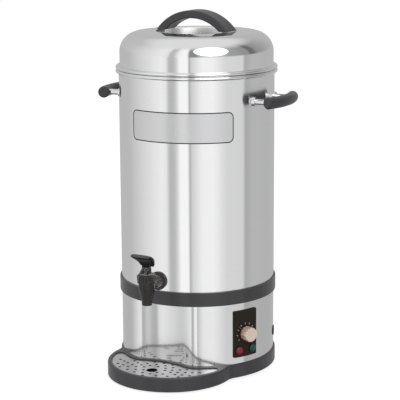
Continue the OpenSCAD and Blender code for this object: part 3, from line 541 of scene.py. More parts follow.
def guarded(profile: Loop, margin: float = mm(0.4), least: float = mm(2)) -> Loop:
    """Return a profile with points added near the ends of its long straight runs, which then shade flat.

    Args:
        profile: Points of the profile.
        margin: Distance of the added points from the ends.
        least: Length above which a run gets them.

    Returns:
        The finer profile.
    """
    finer: Loop = [profile[0]]
    for (ax, ay), (bx, by) in zip(profile, profile[1:]):
        length = math.hypot(bx - ax, by - ay)
        if length > least:
            share = margin / length
            finer += [(ax + (bx - ax) * t, ay + (by - ay) * t) for t in (share, 1 - share)]
        finer.append((bx, by))
    return finer


class MeshMaker:
    """Collects the points and faces of one piece."""

    def __init__(self) -> None:
        """Start with an empty mesh."""
        self.mesh = bmesh.new()

    def ring(self, loop: Loop, z: float) -> list[Vert]:
        """Add the points of a plan outline, measured from the body's axis, at a height."""
        return [self.mesh.verts.new((x, y + AXIS_Y, z)) for x, y in loop]

    def bridge(self, lower: Sequence[Vert], upper: Sequence[Vert]) -> None:
        """Join two closed rings of equal length by a band of faces."""
        for k in range(len(lower)):
            self.mesh.faces.new((lower[k - 1], lower[k], upper[k], upper[k - 1]))

    def loft(self, rings: Sequence[Sequence[Vert]]) -> None:
        """Join closed rings of equal length one after another."""
        for lower, upper in zip(rings, rings[1:]):
            self.bridge(lower, upper)

    def stack(self, levels: Sequence[tuple[Loop, float]]) -> list[list[Vert]]:
        """Add plan outlines at their heights, join them one after another and return their points."""
        rings = [self.ring(loop, z) for loop, z in levels]
        self.loft(rings)
        return rings

    def fan(self, ring: Sequence[Vert], hub: Vert) -> None:
        """Close a ring by faces that meet in one point."""
        for k in range(len(ring)):
            self.mesh.faces.new((hub, ring[k - 1], ring[k]))

    def fill(self, *rings: Sequence[Vert]) -> None:
        """Fill the flat space inside the first ring and outside the others."""
        points = [vert for ring in rings for vert in ring]
        for a, b, c in tessellate_polygon([[vert.co for vert in ring] for ring in rings]):
            self.mesh.faces.new((points[a], points[b], points[c]))

    def lathe(self, profile: Loop, segments: int = 256) -> None:
        """Turn a closed profile of radii and heights about the body's axis.

        Args:
            profile: Closed run of radius and height, whose two ends may lie on the axis.
            segments: Number of steps round the axis.
        """
        rings = [self.ring(circle(r, segments) if r > TINY else [(0.0, 0.0)], z) for r, z in profile]
        pairs = list(zip(rings, rings[1:]))
        if len(rings[0]) > 1:
            pairs.append((rings[-1], rings[0]))
        for pair in pairs:
            hub, rim = sorted(pair, key=len)
            if len(hub) == 1:
                self.fan(rim, hub[0])
            else:
                self.bridge(*pair)

    def finish(self, name: str, sharp: float = 34.0) -> Piece:
        """Return the mesh as a new object with smooth shading and sharp corners.

        Args:
            name: Name of the piece.
            sharp: Angle in degrees above which an edge stays sharp.

        Returns:
            The new object, linked to the scene.
        """
        bmesh.ops.recalc_face_normals(self.mesh, faces=self.mesh.faces)
        data = bpy.data.meshes.new(name)
        self.mesh.to_mesh(data)
        self.mesh.free()
        data.polygons.foreach_set("use_smooth", [True] * len(data.polygons))
        data.set_sharp_from_angle(angle=math.radians(sharp))
        piece = bpy.data.objects.new(name, data)
        bpy.context.scene.collection.objects.link(piece)
        return piece


def turned(name: str, profile: Loop) -> Piece:
    """Return a piece turned about the body's axis from its section."""
    maker = MeshMaker()
    maker.lathe(guarded(profile))
    return maker.finish(name)


@dataclass
class SubAssembly(ABC):
    """A group of pieces that are built and dressed together."""

    wardrobe: Wardrobe

    @abstractmethod
    def build(self) -> list[Piece]:
        """Build the group's pieces and return them."""

    def settle(self, piece: Piece, body: str, slot: Slot, *nodes: str) -> Piece:
        """Dress a piece and let it ride on a body, in place of CAD nodes.

        Args:
            piece: The new piece.
            body: CAD body that it moves with.
            slot: Slot of its finish.
            *nodes: CAD nodes that it stands for.

        Returns:
            The same piece.
        """
        self.wardrobe.dress(piece, slot)
        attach(piece, body)
        if nodes:
            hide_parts(*nodes)
        return piece


@dataclass
class BodyPlan:
    """Plan outlines that the base, the skirt and the drip well share."""

    body_r: float = mm(135)
    base_r: float = mm(137.7)
    lobe_r: float = mm(110)
    lobe_y: float = mm(98.5)
    neck_r: float = mm(28)
    cup_r: float = mm(115)
    cup_depth: float = mm(22)
    cup_edge: float = mm(30)
    rim_w: float = mm(7.5)
    lip_w: float = mm(5)
    well_corner: float = mm(8)
    # Back of the outlines, a hair off the mirror line so that the arcs turn to the +X side
    back: Point = (1e-9, 1)

    def __post_init__(self) -> None:
        """Find the centres of the arcs between the circles."""
        self.cup_y = self.body_r - self.cup_depth + self.cup_r
        self.well_r = self.lobe_r - self.rim_w
        self.edge_c = crossing(self.body_r - self.cup_edge, self.cup_r + self.cup_edge, self.cup_y)
        self.neck_c = crossing(self.base_r + self.neck_r, self.lobe_r + self.neck_r, self.lobe_y)
        self.corner_c = crossing(
            self.body_r + self.lip_w + self.well_corner, self.well_r - self.well_corner, self.lobe_y
        )

    def recess(self, grow: float) -> tuple[Loop, Loop]:
        """Return the +X half of the recess, grown outward, as its rounded edge and its concave arc."""
        ex, ey = self.edge_c
        edge = arc((ex, ey), self.cup_edge + grow, (ex, ey), (-ex, -self.cup_y - ey), steps=18)
        hollow = arc((0, -self.cup_y), self.cup_r - grow, (ex, ey + self.cup_y), UP, steps=40)
        return edge, hollow

    def skirt(self, grow: float = 0.0) -> Loop:
        """Return the skirt's outline, grown outward, with its bends eased into each other."""
        side = arc((0, 0), self.body_r + grow, self.back, self.edge_c, steps=110)
        return mirrored(eased(chained(side, *self.recess(grow))))

    def base(self, inset: float) -> Loop:
        """Return the base's outer outline, drawn in."""
        nx, ny = self.neck_c
        side = arc((0, 0), self.base_r - inset, self.back, self.neck_c, steps=90)
        neck = arc((nx, ny), self.neck_r + inset, (-nx, -ny), (-nx, -self.lobe_y - ny), steps=24)
        lobe = arc((0, -self.lobe_y), self.lobe_r - inset, (nx, ny + self.lobe_y), DOWN, steps=70)
        return mirrored(chained(side, neck, lobe))

    def well(self, inset: float) -> Loop:
        """Return the drip well's outline, drawn in."""
        wx, wy = self.corner_c
        ahead = (wx, wy + self.lobe_y)
        edge, hollow = self.recess(self.lip_w + inset)
        lip = arc((0, 0), self.body_r + self.lip_w + inset, self.edge_c, self.corner_c, steps=24)
        corner = arc((wx, wy), self.well_corner - inset, (-wx, -wy), ahead, steps=18)
        front = arc((0, -self.lobe_y), self.well_r - inset, ahead, DOWN, steps=60)
        return mirrored(chained(hollow[::-1], edge[::-1], lip, corner, front))


@dataclass
class Stand(SubAssembly):
    """The moulded base with its drip well, and the steel skirt that stands in it."""

    plan: BodyPlan
    foot_z: float = mm(2)
    deck_z: float = mm(26)
    floor_z: float = mm(10)
    ledge_z: float = mm(22.7)
    well_z: float = mm(5)
    plate_z: float = mm(7.2)
    edge: float = mm(2.2)
    well_edge: float = mm(0.9)
    toe: float = mm(0.6)
    ledge_w: float = mm(4)
    wall: float = mm(6)
    service_r: float = mm(92)
    plate_r: float = mm(99)
    round_steps: int = 144
    skirt_t: float = mm(0.8)
    skirt_z: float = mm(23)
    skirt_top: float = mm(138.9)

    def build(self) -> list[Piece]:
        """Build the base and the skirt and return them."""
        base = self.settle(self.moulding(), "root", Slot.BASE, "base")
        skirt = self.settle(self.skirt_wall(), "root", Slot.SATIN, "skirt")
        skirt.data.materials[0] = BRIGHT_SHEET.material("bright_sheet")
        return [base, skirt]

    def moulding(self) -> Piece:
        """Return the base, with a rounded rim, a stepped drip well and a hollow under the skirt."""
        maker = MeshMaker()
        plan, deck, ledge = self.plan, self.deck_z, self.ledge_w
        rim = arc((self.edge, deck - self.edge), self.edge, IN, UP, steps=8)
        side = guarded([(self.toe, self.foot_z), (0.0, self.foot_z + self.toe), *rim])
        outside = maker.stack([(plan.base(inset), z) for inset, z in side])
        lip = arc((-self.well_edge, deck - self.well_edge), self.well_edge, UP, OUT, steps=5)
        well_side = guarded([*lip, (0.0, self.ledge_z), (ledge, self.ledge_z), (ledge, self.well_z)])
        well = maker.stack([(plan.well(inset), z) for inset, z in well_side])
        hollow = maker.stack([(plan.skirt(-self.wall), z) for z in (deck, self.floor_z)])
        steps = (
            (self.service_r, self.floor_z),
            (self.service_r, self.plate_z),
            (self.plate_r, self.plate_z),
            (self.plate_r, self.foot_z),
        )
        opening = maker.stack([(circle(radius, self.round_steps), z) for radius, z in steps])
        maker.fill(outside[-1], well[0], hollow[0])
        maker.fill(well[-1])
        maker.fill(hollow[-1], opening[0])
        maker.fill(outside[0], opening[-1])
        return maker.finish("base_moulding")

    def skirt_wall(self) -> Piece:
        """Return the skirt: a thin wall on the plan's outline."""
        maker = MeshMaker()
        heights = [z for _, z in guarded([(0.0, self.skirt_z), (0.0, self.skirt_top)])]
        rings = [(self.plan.skirt(), z) for z in heights]
        rings += [(self.plan.skirt(-self.skirt_t), z) for z in reversed(heights)]
        made = maker.stack(rings)
        maker.bridge(made[-1], made[0])
        return maker.finish("skirt_wall")


@dataclass
class Vessel(SubAssembly):
    """The steel pot with its rolled rim, and the band round its foot."""

    radius: float = mm(135)
    sheet: float = mm(1)
    floor_z: float = mm(143)
    rim_z: float = mm(524.5)
    corner: float = mm(9)
    bead_r: float = mm(3.2)
    lip: float = mm(0.5)
    stud_r: float = mm(4)
    stud_z: float = mm(118.6)
    band_in: float = mm(135.2)
    band_out: float = mm(138.2)
    band_z: float = mm(133.4)
    band_top: float = mm(157.4)
    band_edge: float = mm(0.7)
    rib_in: float = mm(132.2)
    rib_z: float = mm(139)
    rib_top: float = mm(141)

    def build(self) -> list[Piece]:
        """Build the pot and the band and return them."""
        return [
            self.settle(turned("pot_wall", self.pot()), "root", Slot.SATIN, "pot", "pot_rim"),
            self.settle(turned("band_hoop", self.band()), "root", Slot.BAND, "trim_band"),
        ]

    def pot(self) -> Loop:
        """Return the pot's section."""
        inner = self.radius - self.sheet
        bend = (self.radius - self.corner, self.floor_z + self.corner)
        bead = (inner + self.bead_r, self.rim_z - self.bead_r)
        return chained(
            [(0.0, self.stud_z), (self.stud_r, self.stud_z), (self.stud_r, self.floor_z)],
            arc(bend, self.corner, DOWN, OUT, steps=12),
            [(self.radius, self.rim_z - 2 * self.bead_r)],
            arc(bead, self.bead_r, DOWN, OUT, UP, steps=10),
            [(inner + self.lip, self.rim_z), (inner, self.rim_z - self.lip)],
            arc(bend, self.corner - self.sheet, OUT, DOWN, steps=12),
            [(0.0, self.floor_z + self.sheet)],
        )

    def band(self) -> Loop:
        """Return the band's section, with rounded edges and an inner rib."""
        edge = self.band_edge
        return chained(
            [(self.rib_in, self.rib_z), (self.band_in, self.rib_z), (self.band_in, self.band_z)],
            arc((self.band_out - edge, self.band_z + edge), edge, DOWN, OUT, steps=6),
            arc((self.band_out - edge, self.band_top - edge), edge, OUT, UP, steps=6),
            [(self.band_in, self.band_top), (self.band_in, self.rib_top), (self.rib_in, self.rib_top)],
        )


@dataclass
class Lid(SubAssembly):
    """The drawn lid with its bead, ridge and handle well."""

    radius: float = mm(133.2)
    sheet: float = mm(1)
    rest_z: float = mm(524.8)
    plug: float = mm(12)
    bead_r: float = mm(3)
    bead_c: float = mm(137.2)
    bead_web: float = mm(1.4)
    shoulder_r: float = mm(34)
    shoulder_z: float = mm(553.8)
    ridge_r: float = mm(72)
    ridge_z: float = mm(589.2)
    ridge_round: float = mm(4)
    satin_r: float = mm(80)
    well_r: float = mm(59)
    well_z: float = mm(572.2)
    well_round: float = mm(5)

    def build(self) -> list[Piece]:
        """Build the lid's dome, with a duller handle well, and return it."""
        dome = turned("lid_dome", self.section())
        self.settle(dome, "lid", Slot.POLISHED, "lid_wall", "lid_shell")
        dome.data.materials.append(WELL_SHEET.material("well_sheet"))
        for face in dome.data.polygons:
            x, y, _ = face.center
            face.material_index = int(math.hypot(x, y - AXIS_Y) < self.satin_r)
        return [dome]

    def face(self, inset: float) -> Loop:
        """Return one face of the sheet, from the shoulder to the well's middle.

        Args:
            inset: How far the face lies inside the outer one.

        Returns:
            Radii and heights along the face.
        """
        ridge = (self.ridge_r, self.ridge_z - self.ridge_round)
        foot = (self.well_r, self.well_z + self.well_round)
        gap = math.dist(ridge, foot)
        lean = math.atan2(ridge[1] - foot[1], ridge[0] - foot[0])
        tilt = lean + math.acos(-(self.ridge_round + self.well_round) / gap)
        wall = (math.cos(tilt), math.sin(tilt))
        shoulder = (self.radius - self.shoulder_r, self.shoulder_z)
        return chained(
            arc(shoulder, self.shoulder_r - inset, OUT, UP, steps=28),
            arc(ridge, self.ridge_round - inset, UP, wall, steps=10),
            arc(foot, self.well_round + inset, (-wall[0], -wall[1]), DOWN, steps=10),
            [(0.0, self.well_z - inset)],
        )

    def section(self) -> Loop:
        """Return the lid's section, from the inner face to the outer."""
        low = self.rest_z - self.plug
        bead = (self.bead_c, self.rest_z + self.bead_r)
        half_web = self.bead_web / 2
        lip = math.asin(half_web / self.bead_r)
        below, above = (-math.cos(lip), -math.sin(lip)), (-math.cos(lip), math.sin(lip))
        outer = chained(
            [(self.radius, low), (self.radius, bead[1] - half_web)],
            arc(bead, self.bead_r, below, DOWN, OUT, UP, above, steps=8),
            [(self.radius, bead[1] + half_web)],
            self.face(0.0),
        )
        inner = chained([(self.radius - self.sheet, low)], self.face(self.sheet))
        return [*inner[::-1], *outer]


@dataclass
class DripGrid(SubAssembly):
    """The perforated sheet over the drip well, with its finger hole."""

    plan: BodyPlan
    gap: float = mm(0.4)
    low_z: float = mm(23.6)
    top_z: float = mm(24)
    finger_r: float = mm(9.5)
    finger_at: Point = (0.0, mm(-164))
    finger_steps: int = 48
    finger_margin: float = mm(5.04)
    drain_r: float = mm(2.7)
    drain_steps: int = 16
    margin: float = mm(3.6)
    row_y: float = mm(240)
    half_row: int = 9
    # Radius in millimetres and degrees between two holes of each row, from the pot to the front
    rows: tuple[Point, ...] = (
        (128, 8.4), (117.6, 8.8), (107.4, 9.2), (97, 9.2), (87.4, 9.2), (72, 11), (58, 14.5), (45, 19),
    )  # fmt: skip

    def build(self) -> list[Piece]:
        """Build the grid and return it."""
        return [self.settle(self.sheet(), "drip_grid", Slot.GRID, "drip_grid")]

    def sheet(self) -> Piece:
        """Return the sheet with all its holes."""
        maker = MeshMaker()
        loops = [self.plan.well(self.gap), circle(self.finger_r, self.finger_steps, self.finger_at)]
        loops += [circle(self.drain_r, self.drain_steps, middle) for middle in self.drains()]
        low, top = ([maker.ring(loop, z) for loop in loops] for z in (self.low_z, self.top_z))
        for lower, upper in zip(low, top):
            maker.bridge(lower, upper)
        maker.fill(*low)
        maker.fill(*top)
        return maker.finish("grid_sheet")

    def drains(self) -> Loop:
        """Return the middles of the drain holes, in staggered rows."""
        edge = self.plan.well(self.gap + self.margin)
        middles: Loop = []
        for k, (radius, step) in enumerate(self.rows):
            for j in range(-self.half_row, self.half_row):
                turn = math.radians((j + (k + 1) % 2 / 2) * step)
                point = (mm(radius) * math.sin(turn), mm(radius) * math.cos(turn) - self.row_y)
                near_finger = math.dist(point, self.finger_at) < self.finger_r + self.finger_margin
                if not near_finger and inside(point, edge):
                    middles.append(point)
        return middles


@dataclass
class TapLever(SubAssembly):
    """The tap's lever: a forked neck under a broad paddle that hooks down behind."""

    spout_y: float = AXIS_Y - mm(177)
    seat_z: float = mm(197)
    fork_w: float = mm(7)
    slot_w: float = mm(3.4)
    slot_top: float = mm(11.2)
    pin_up: float = mm(6)
    foot_gap: float = mm(0.3)
    foot_steps: int = 12
    lift: float = mm(5)
    swing: float = math.radians(45)
    heel: tuple[Point, ...] = ((mm(4.2), mm(0.3)), (mm(4.9), mm(1.4)), (mm(4.9), mm(7)))
    toe: tuple[Point, ...] = ((mm(-4.6), mm(8.6)), (mm(-7.4), mm(7.2)), (mm(-10.6), mm(5.2)))
    neck_t: float = mm(3.7)
    neck_top: float = mm(23)
    neck_rise: float = mm(3)
    root: float = mm(0.2)
    soft: float = mm(0.5)
    soft_share: float = 0.9
    # Normals that point less far up than this belong to the lower faces, which get a painted shade
    shaded_below: float = 0.2
    sharp: float = 50.0
    section_step: int = 10
    section_wide: float = 0.35
    section_thick: float = 0.65
    # Distance ahead, height, thickness and half width of the paddle's sections, in millimetres
    stations: tuple[tuple[float, float, float, float], ...] = (
        (21.8, 34.2, 3.6, 16.8),
        (21.2, 34.0, 5.6, 17.9),
        (19.0, 33.2, 7.0, 18.5),
        (14.0, 31.2, 8.4, 18.7),
        (8.5, 28.2, 9.2, 18.2),
        (3.6, 24.7, 9.2, 17.0),
        (0.4, 21.0, 8.0, 15.6),
        (-1.6, 17.3, 6.2, 14.4),
        (-2.4, 14.3, 4.2, 13.4),
        (-2.7, 13.1, 2.0, 12.4),
    )

    def build(self) -> list[Piece]:
        """Build the lever, with a painted sheen on its top faces and painted shade on its lower faces, and
        return it.
        """
        maker = MeshMaker()
        self.paddle(maker)
        self.neck(maker)
        lever = self.settle(maker.finish("lever_paddle", self.sharp), "lever", Slot.TAP, "tap_lever")
        lever.visible_glossy = False
        # Top faces take a painted sheen, faces that point down or sideways take a painted shade
        lever.data.materials[0] = LEVER_LIT_TOP.material("lever_lit_top")
        lever.data.materials.append(LEVER_PAINTED_SHADE.material("lever_painted_shade"))
        for face in lever.data.polygons:
            face.material_index = int(face.normal.z < self.shaded_below)
        return [lever]

    def point(self, maker: MeshMaker, across: float, ahead: float, up: float) -> Vert:
        """Add a point by its distances from the spout's axis and the bonnet's top."""
        return maker.mesh.verts.new((across, self.spout_y - ahead, self.seat_z + up))

    def paddle(self, maker: MeshMaker) -> None:
        """Add the paddle: rounded sections along a curve."""
        path = [Vector((mm(ahead), mm(up))) for ahead, up, _, _ in self.stations]
        rings = []
        for k, (_, _, thick, wide) in enumerate(self.stations):
            along = (path[min(k + 1, len(path) - 1)] - path[max(k - 1, 0)]).normalized()
            ring = []
            for turn in range(0, 360, self.section_step):
                c, s = math.cos(math.radians(turn)), math.sin(math.radians(turn))
                across = mm(wide) * math.copysign(abs(c) ** self.section_wide, c)
                lift = mm(thick) / 2 * math.copysign(abs(s) ** self.section_thick, s)
                ahead, up = path[k].x - along.y * lift, path[k].y + along.x * lift
                ring.append(self.point(maker, across, ahead, up))
            rings.append(ring)
        maker.loft(rings)
        for ring, middle in ((rings[0], path[0]), (rings[-1], path[-1])):
            maker.fan(ring, self.point(maker, 0.0, middle.x, middle.y))

    def neck(self, maker: MeshMaker) -> None:
        """Add the neck: two cheeks on the pin, joined above the stem, with cam feet on the bonnet."""
        foot = [self.cam(self.swing * (1 - k / self.foot_steps)) for k in range(self.foot_steps + 1)]
        root_t, root_z = self.neck_t - self.root, self.slot_top + 3 * self.root
        cheek = chained([(-root_t, root_z)], list(self.toe), foot, list(self.heel), [(root_t, root_z)])
        head = [
            (-self.neck_t, self.slot_top), (self.neck_t, self.slot_top),
            (self.neck_t, self.neck_top), (-self.neck_t, self.neck_top + self.neck_rise),
        ]  # fmt: skip
        self.slab(maker, cheek, -self.fork_w, -self.slot_w)
        self.slab(maker, cheek, self.slot_w, self.fork_w)
        self.slab(maker, head, -self.fork_w, self.fork_w)

    def cam(self, tilt: float) -> Point:
        """Return the point of the foot that bears on the bonnet at a tilt, on an involute about the pin."""
        rise = self.lift / self.swing
        reach = self.pin_up - self.foot_gap + rise * tilt
        s, c = math.sin(tilt), math.cos(tilt)
        return -reach * s - rise * c, self.pin_up - reach * c + rise * s

    def slab(self, maker: MeshMaker, profile: Loop, left: float, right: float) -> None:
        """Add a profile of distances behind the spout and heights, drawn out sideways with soft edges."""
        my, mz = (sum(values) / len(profile) for values in zip(*profile))
        sides = (left, left + self.soft, right - self.soft, right)
        rings = []
        for across, share in zip(sides, (self.soft_share, 1.0, 1.0, self.soft_share)):
            drawn = [(my + (y - my) * share, mz + (z - mz) * share) for y, z in profile]
            rings.append([self.point(maker, across, -y, z) for y, z in drawn])
        maker.loft(rings)
        maker.fill(rings[0])
        maker.fill(rings[-1])


@dataclass
class DialKnob(SubAssembly):
    """The thermostat's fluted metal knob with its pointer."""

    back: float = mm(138.5)
    radius: float = mm(13)
    length: float = mm(14.5)
    taper: float = mm(0.4)
    flutes: int = 12
    flute: float = mm(0.8)
    flute_steps: int = 8
    flute_power: float = 1.5
    foot: float = mm(0.6)
    edge: float = mm(0.9)
    edge_flute: float = 0.15
    dish: float = mm(0.25)
    dish_edge: float = mm(0.05)
    dish_share: float = 0.5
    bore_r: float = mm(3)
    hollow_r: float = mm(8.5)
    hollow: float = mm(2.6)
    pointer_at: float = math.radians(140)
    pointer_out: float = mm(22.5)
    pointer_w: float = mm(0.7)
    pointer_low: float = mm(0.3)
    pointer_top: float = mm(1.8)
    sharp: float = 30.0
    # Normals that point less far out than this belong to the side, which is more metallic and darker as
    # painted shade
    shaded_side_below: float = 0.5

    def build(self) -> list[Piece]:
        """Build the knob, with a finish each for its face, its side (more metallic, and darker as painted
        shade) and its pointer, and return it.
        """
        maker = MeshMaker()
        self.drum(maker)
        self.pointer(maker)
        knob = self.settle(maker.finish("dial_knob", self.sharp), "knob", Slot.KNOB, "knob")
        # The side takes a darker, more metallic copy of the knob's metal: partly a metal finish, partly
        # painted shade
        knob.data.materials.append(KNOB_SHADED_SIDE.material("knob_shaded_side"))
        knob.data.materials.append(LACQUER.material())
        _, side, lacquer = range(len(knob.data.materials))
        axis = Vector(KNOB_AXIS)
        for face in knob.data.polygons:
            arm = face.center - Vector((0.0, AXIS_Y, PANEL_Z))
            if (arm - axis * arm.dot(axis)).length > self.radius + self.taper:
                face.material_index = lacquer
            elif face.normal.dot(axis) < self.shaded_side_below:
                face.material_index = side
        return [knob]

    def point(self, maker: MeshMaker, right: float, up: float, out: float) -> Vert:
        """Add a point by its distances right of and above the knob's axis, and out from the panel."""
        reach = self.back + out
        x, y = KNOB_AXIS[0] * reach - KNOB_AXIS[1] * right, KNOB_AXIS[1] * reach + KNOB_AXIS[0] * right
        return maker.mesh.verts.new((x, AXIS_Y + y, PANEL_Z + up))

    def drum(self, maker: MeshMaker) -> None:
        """Add the fluted drum, from its bore to its dished face."""
        steps = self.flutes * self.flute_steps
        front, face = self.radius - self.taper, self.length - self.dish
        # Radius, distance out and share of the flutes' depth
        profile = (
            (self.bore_r, self.hollow, 0.0),
            (self.hollow_r, self.hollow, 0.0),
            (self.hollow_r, 0.0, 0.0),
            (self.radius - self.flute, 0.0, 0.0),
            (self.radius, self.foot, 1.0),
            (front, self.length - self.edge, 1.0),
            (front - self.edge, self.length, self.edge_flute),
            (front - 2 * self.edge, self.length - self.dish_edge, 0.0),
            (front * self.dish_share, face, 0.0),
        )
        rings = []
        for radius, out, share in profile:
            ring = []
            for turn in (math.tau * k / steps for k in range(steps)):
                wave = (0.5 - 0.5 * math.cos(self.flutes * turn)) ** self.flute_power
                r = radius - self.flute * share * wave
                ring.append(self.point(maker, r * math.cos(turn), r * math.sin(turn), out))
            rings.append(ring)
        maker.loft(rings)
        for ring, out in ((rings[0], self.hollow), (rings[-1], face)):
            maker.fan(ring, self.point(maker, 0.0, 0.0, out))

    def pointer(self, maker: MeshMaker) -> None:
        """Add the pointer, a slim tapering blade at the knob's foot."""
        c, s = math.cos(self.pointer_at), math.sin(self.pointer_at)
        plan = [(self.radius - 2 * self.flute, -self.pointer_w), (self.pointer_out, -self.pointer_w / 2)]
        plan += [(u, -v) for u, v in reversed(plan)]
        rings = [
            [self.point(maker, u * c - v * s, u * s + v * c, out) for u, v in plan]
            for out in (self.pointer_low, self.pointer_top)
        ]
        maker.bridge(*rings)
        for ring in rings:
            maker.fill(ring)


@dataclass
class Markings(SubAssembly):
    """The bare label film with its printed border, and the ticks round the dial."""

    radius: float = mm(135.16)
    film_z: float = mm(413)
    film_top: float = mm(465)
    film_from: float = math.radians(-23.6)
    film_to: float = math.radians(55.9)
    film_steps: int = 60
    corner: float = mm(9.5)
    corner_steps: int = 10
    border: float = mm(1.8)
    border_over: float = mm(0.05)
    sheet: float = mm(0.08)
    panel_r: float = mm(137.72)
    tick_in: float = mm(16.4)
    tick_out: float = mm(19.2)
    tick_w: float = mm(0.9)
    ticks: tuple[float, ...] = (35.0, 65.0, 95.0, 125.0, 155.0, 185.0, 215.0)

    def build(self) -> list[Piece]:
        """Build the film, its border and the ticks and return them."""
        pieces = []
        for name, faces, radius, paint in (
            ("label_film", self.film_faces(), self.radius, FILM),
            ("label_border", self.border_faces(), self.radius + self.border_over, BORDER_INK),
            ("dial_ticks", self.tick_faces(), self.panel_r, DIAL_INK),
        ):
            piece = self.wrapped(name, faces, radius)
            piece.data.materials.append(paint.material())
            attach(piece, "root")
            pieces.append(piece)
        return pieces

    def wrapped(self, name: str, faces: Sequence[Loop], radius: float) -> Piece:
        """Return flat faces bent round the body as a thin sheet.

        Args:
            name: Name of the piece.
            faces: The faces, as points of arc length from the tap and height.
            radius: Radius that they are bent to.

        Returns:
            The new piece.
        """
        maker = MeshMaker()
        for face in faces:
            points = []
            for along, z in face:
                turn = along / radius
                points += maker.ring([(radius * math.sin(turn), -radius * math.cos(turn))], z)
            maker.mesh.faces.new(points)
        bmesh.ops.remove_doubles(maker.mesh, verts=maker.mesh.verts, dist=10 * TINY)
        bmesh.ops.recalc_face_normals(maker.mesh, faces=maker.mesh.faces)
        bmesh.ops.solidify(maker.mesh, geom=maker.mesh.faces, thickness=self.sheet)
        return maker.finish(name)

    def edges(self, inset: float) -> tuple[Loop, Loop]:
        """Return the lower and the upper edge of the label, drawn in, as arc lengths and heights."""
        left, right = self.film_from * self.radius + inset, self.film_to * self.radius - inset
        low, r, steps = self.film_z + inset, self.corner - inset, self.corner_steps
        step = (right - left - 2 * r) / self.film_steps
        along = [left + r + step * k for k in range(self.film_steps + 1)]
        lower = chained(
            arc((left + r, low + r), r, IN, DOWN, steps=steps),
            [(x, low) for x in along],
            arc((right - r, low + r), r, DOWN, OUT, steps=steps),
        )
        return lower, [(x, self.film_z + self.film_top - z) for x, z in lower]

    def film_faces(self) -> list[Loop]:
        """Return the film as upright strips between its lower and upper edge."""
        lower, upper = self.edges(self.border / 2)
        return [[lower[k - 1], lower[k], upper[k], upper[k - 1]] for k in range(1, len(lower))]

    def border_faces(self) -> list[Loop]:
        """Return the border as quads between two closed outlines."""
        outer, inner = (lower + upper[::-1] for lower, upper in (self.edges(0.0), self.edges(self.border)))
        return [[outer[k - 1], outer[k], inner[k], inner[k - 1]] for k in range(len(outer))]

    def tick_faces(self) -> list[Loop]:
        """Return the dial's ticks as short bars round the knob."""
        middle, half = PANEL_AZ * self.panel_r, self.tick_w / 2
        bar = [(self.tick_in, -half), (self.tick_out, -half), (self.tick_out, half), (self.tick_in, half)]
        bars = []
        for angle in self.ticks:
            c, s = math.cos(math.radians(angle)), math.sin(math.radians(angle))
            bars.append([(middle + u * c - v * s, PANEL_Z + u * s + v * c) for u, v in bar])
        return bars


@dataclass
class CarriedNodes(SubAssembly):
    """The CAD nodes that keep their own shape, and only get finishes."""

    # Pieces in the tap, which the pot's steel doesn't mirror either
    unmirrored: tuple[str, ...] = ("lever_pin", "seat_cup", "tap_outer_seal")

    def build(self) -> list[Piece]:
        """Dress every CAD node and return those that still show."""
        slots = {part["node"]: Slot(part["material_slot"]) for part in frame["record"]["subparts"]}
        for name, node in frame["nodes"].items():
            self.wardrobe.dress(node, slots[name])
            # The brackets take a darkened steel as a painted dark reflection
            if name == "lid_brackets":
                node.data.materials[0] = BRACKET_PAINTED_DARK.material("bracket_painted_dark")
            node.visible_glossy = slots[name] is not Slot.TAP and name not in self.unmirrored
        return [node for node in frame["nodes"].values() if not node.hide_render]


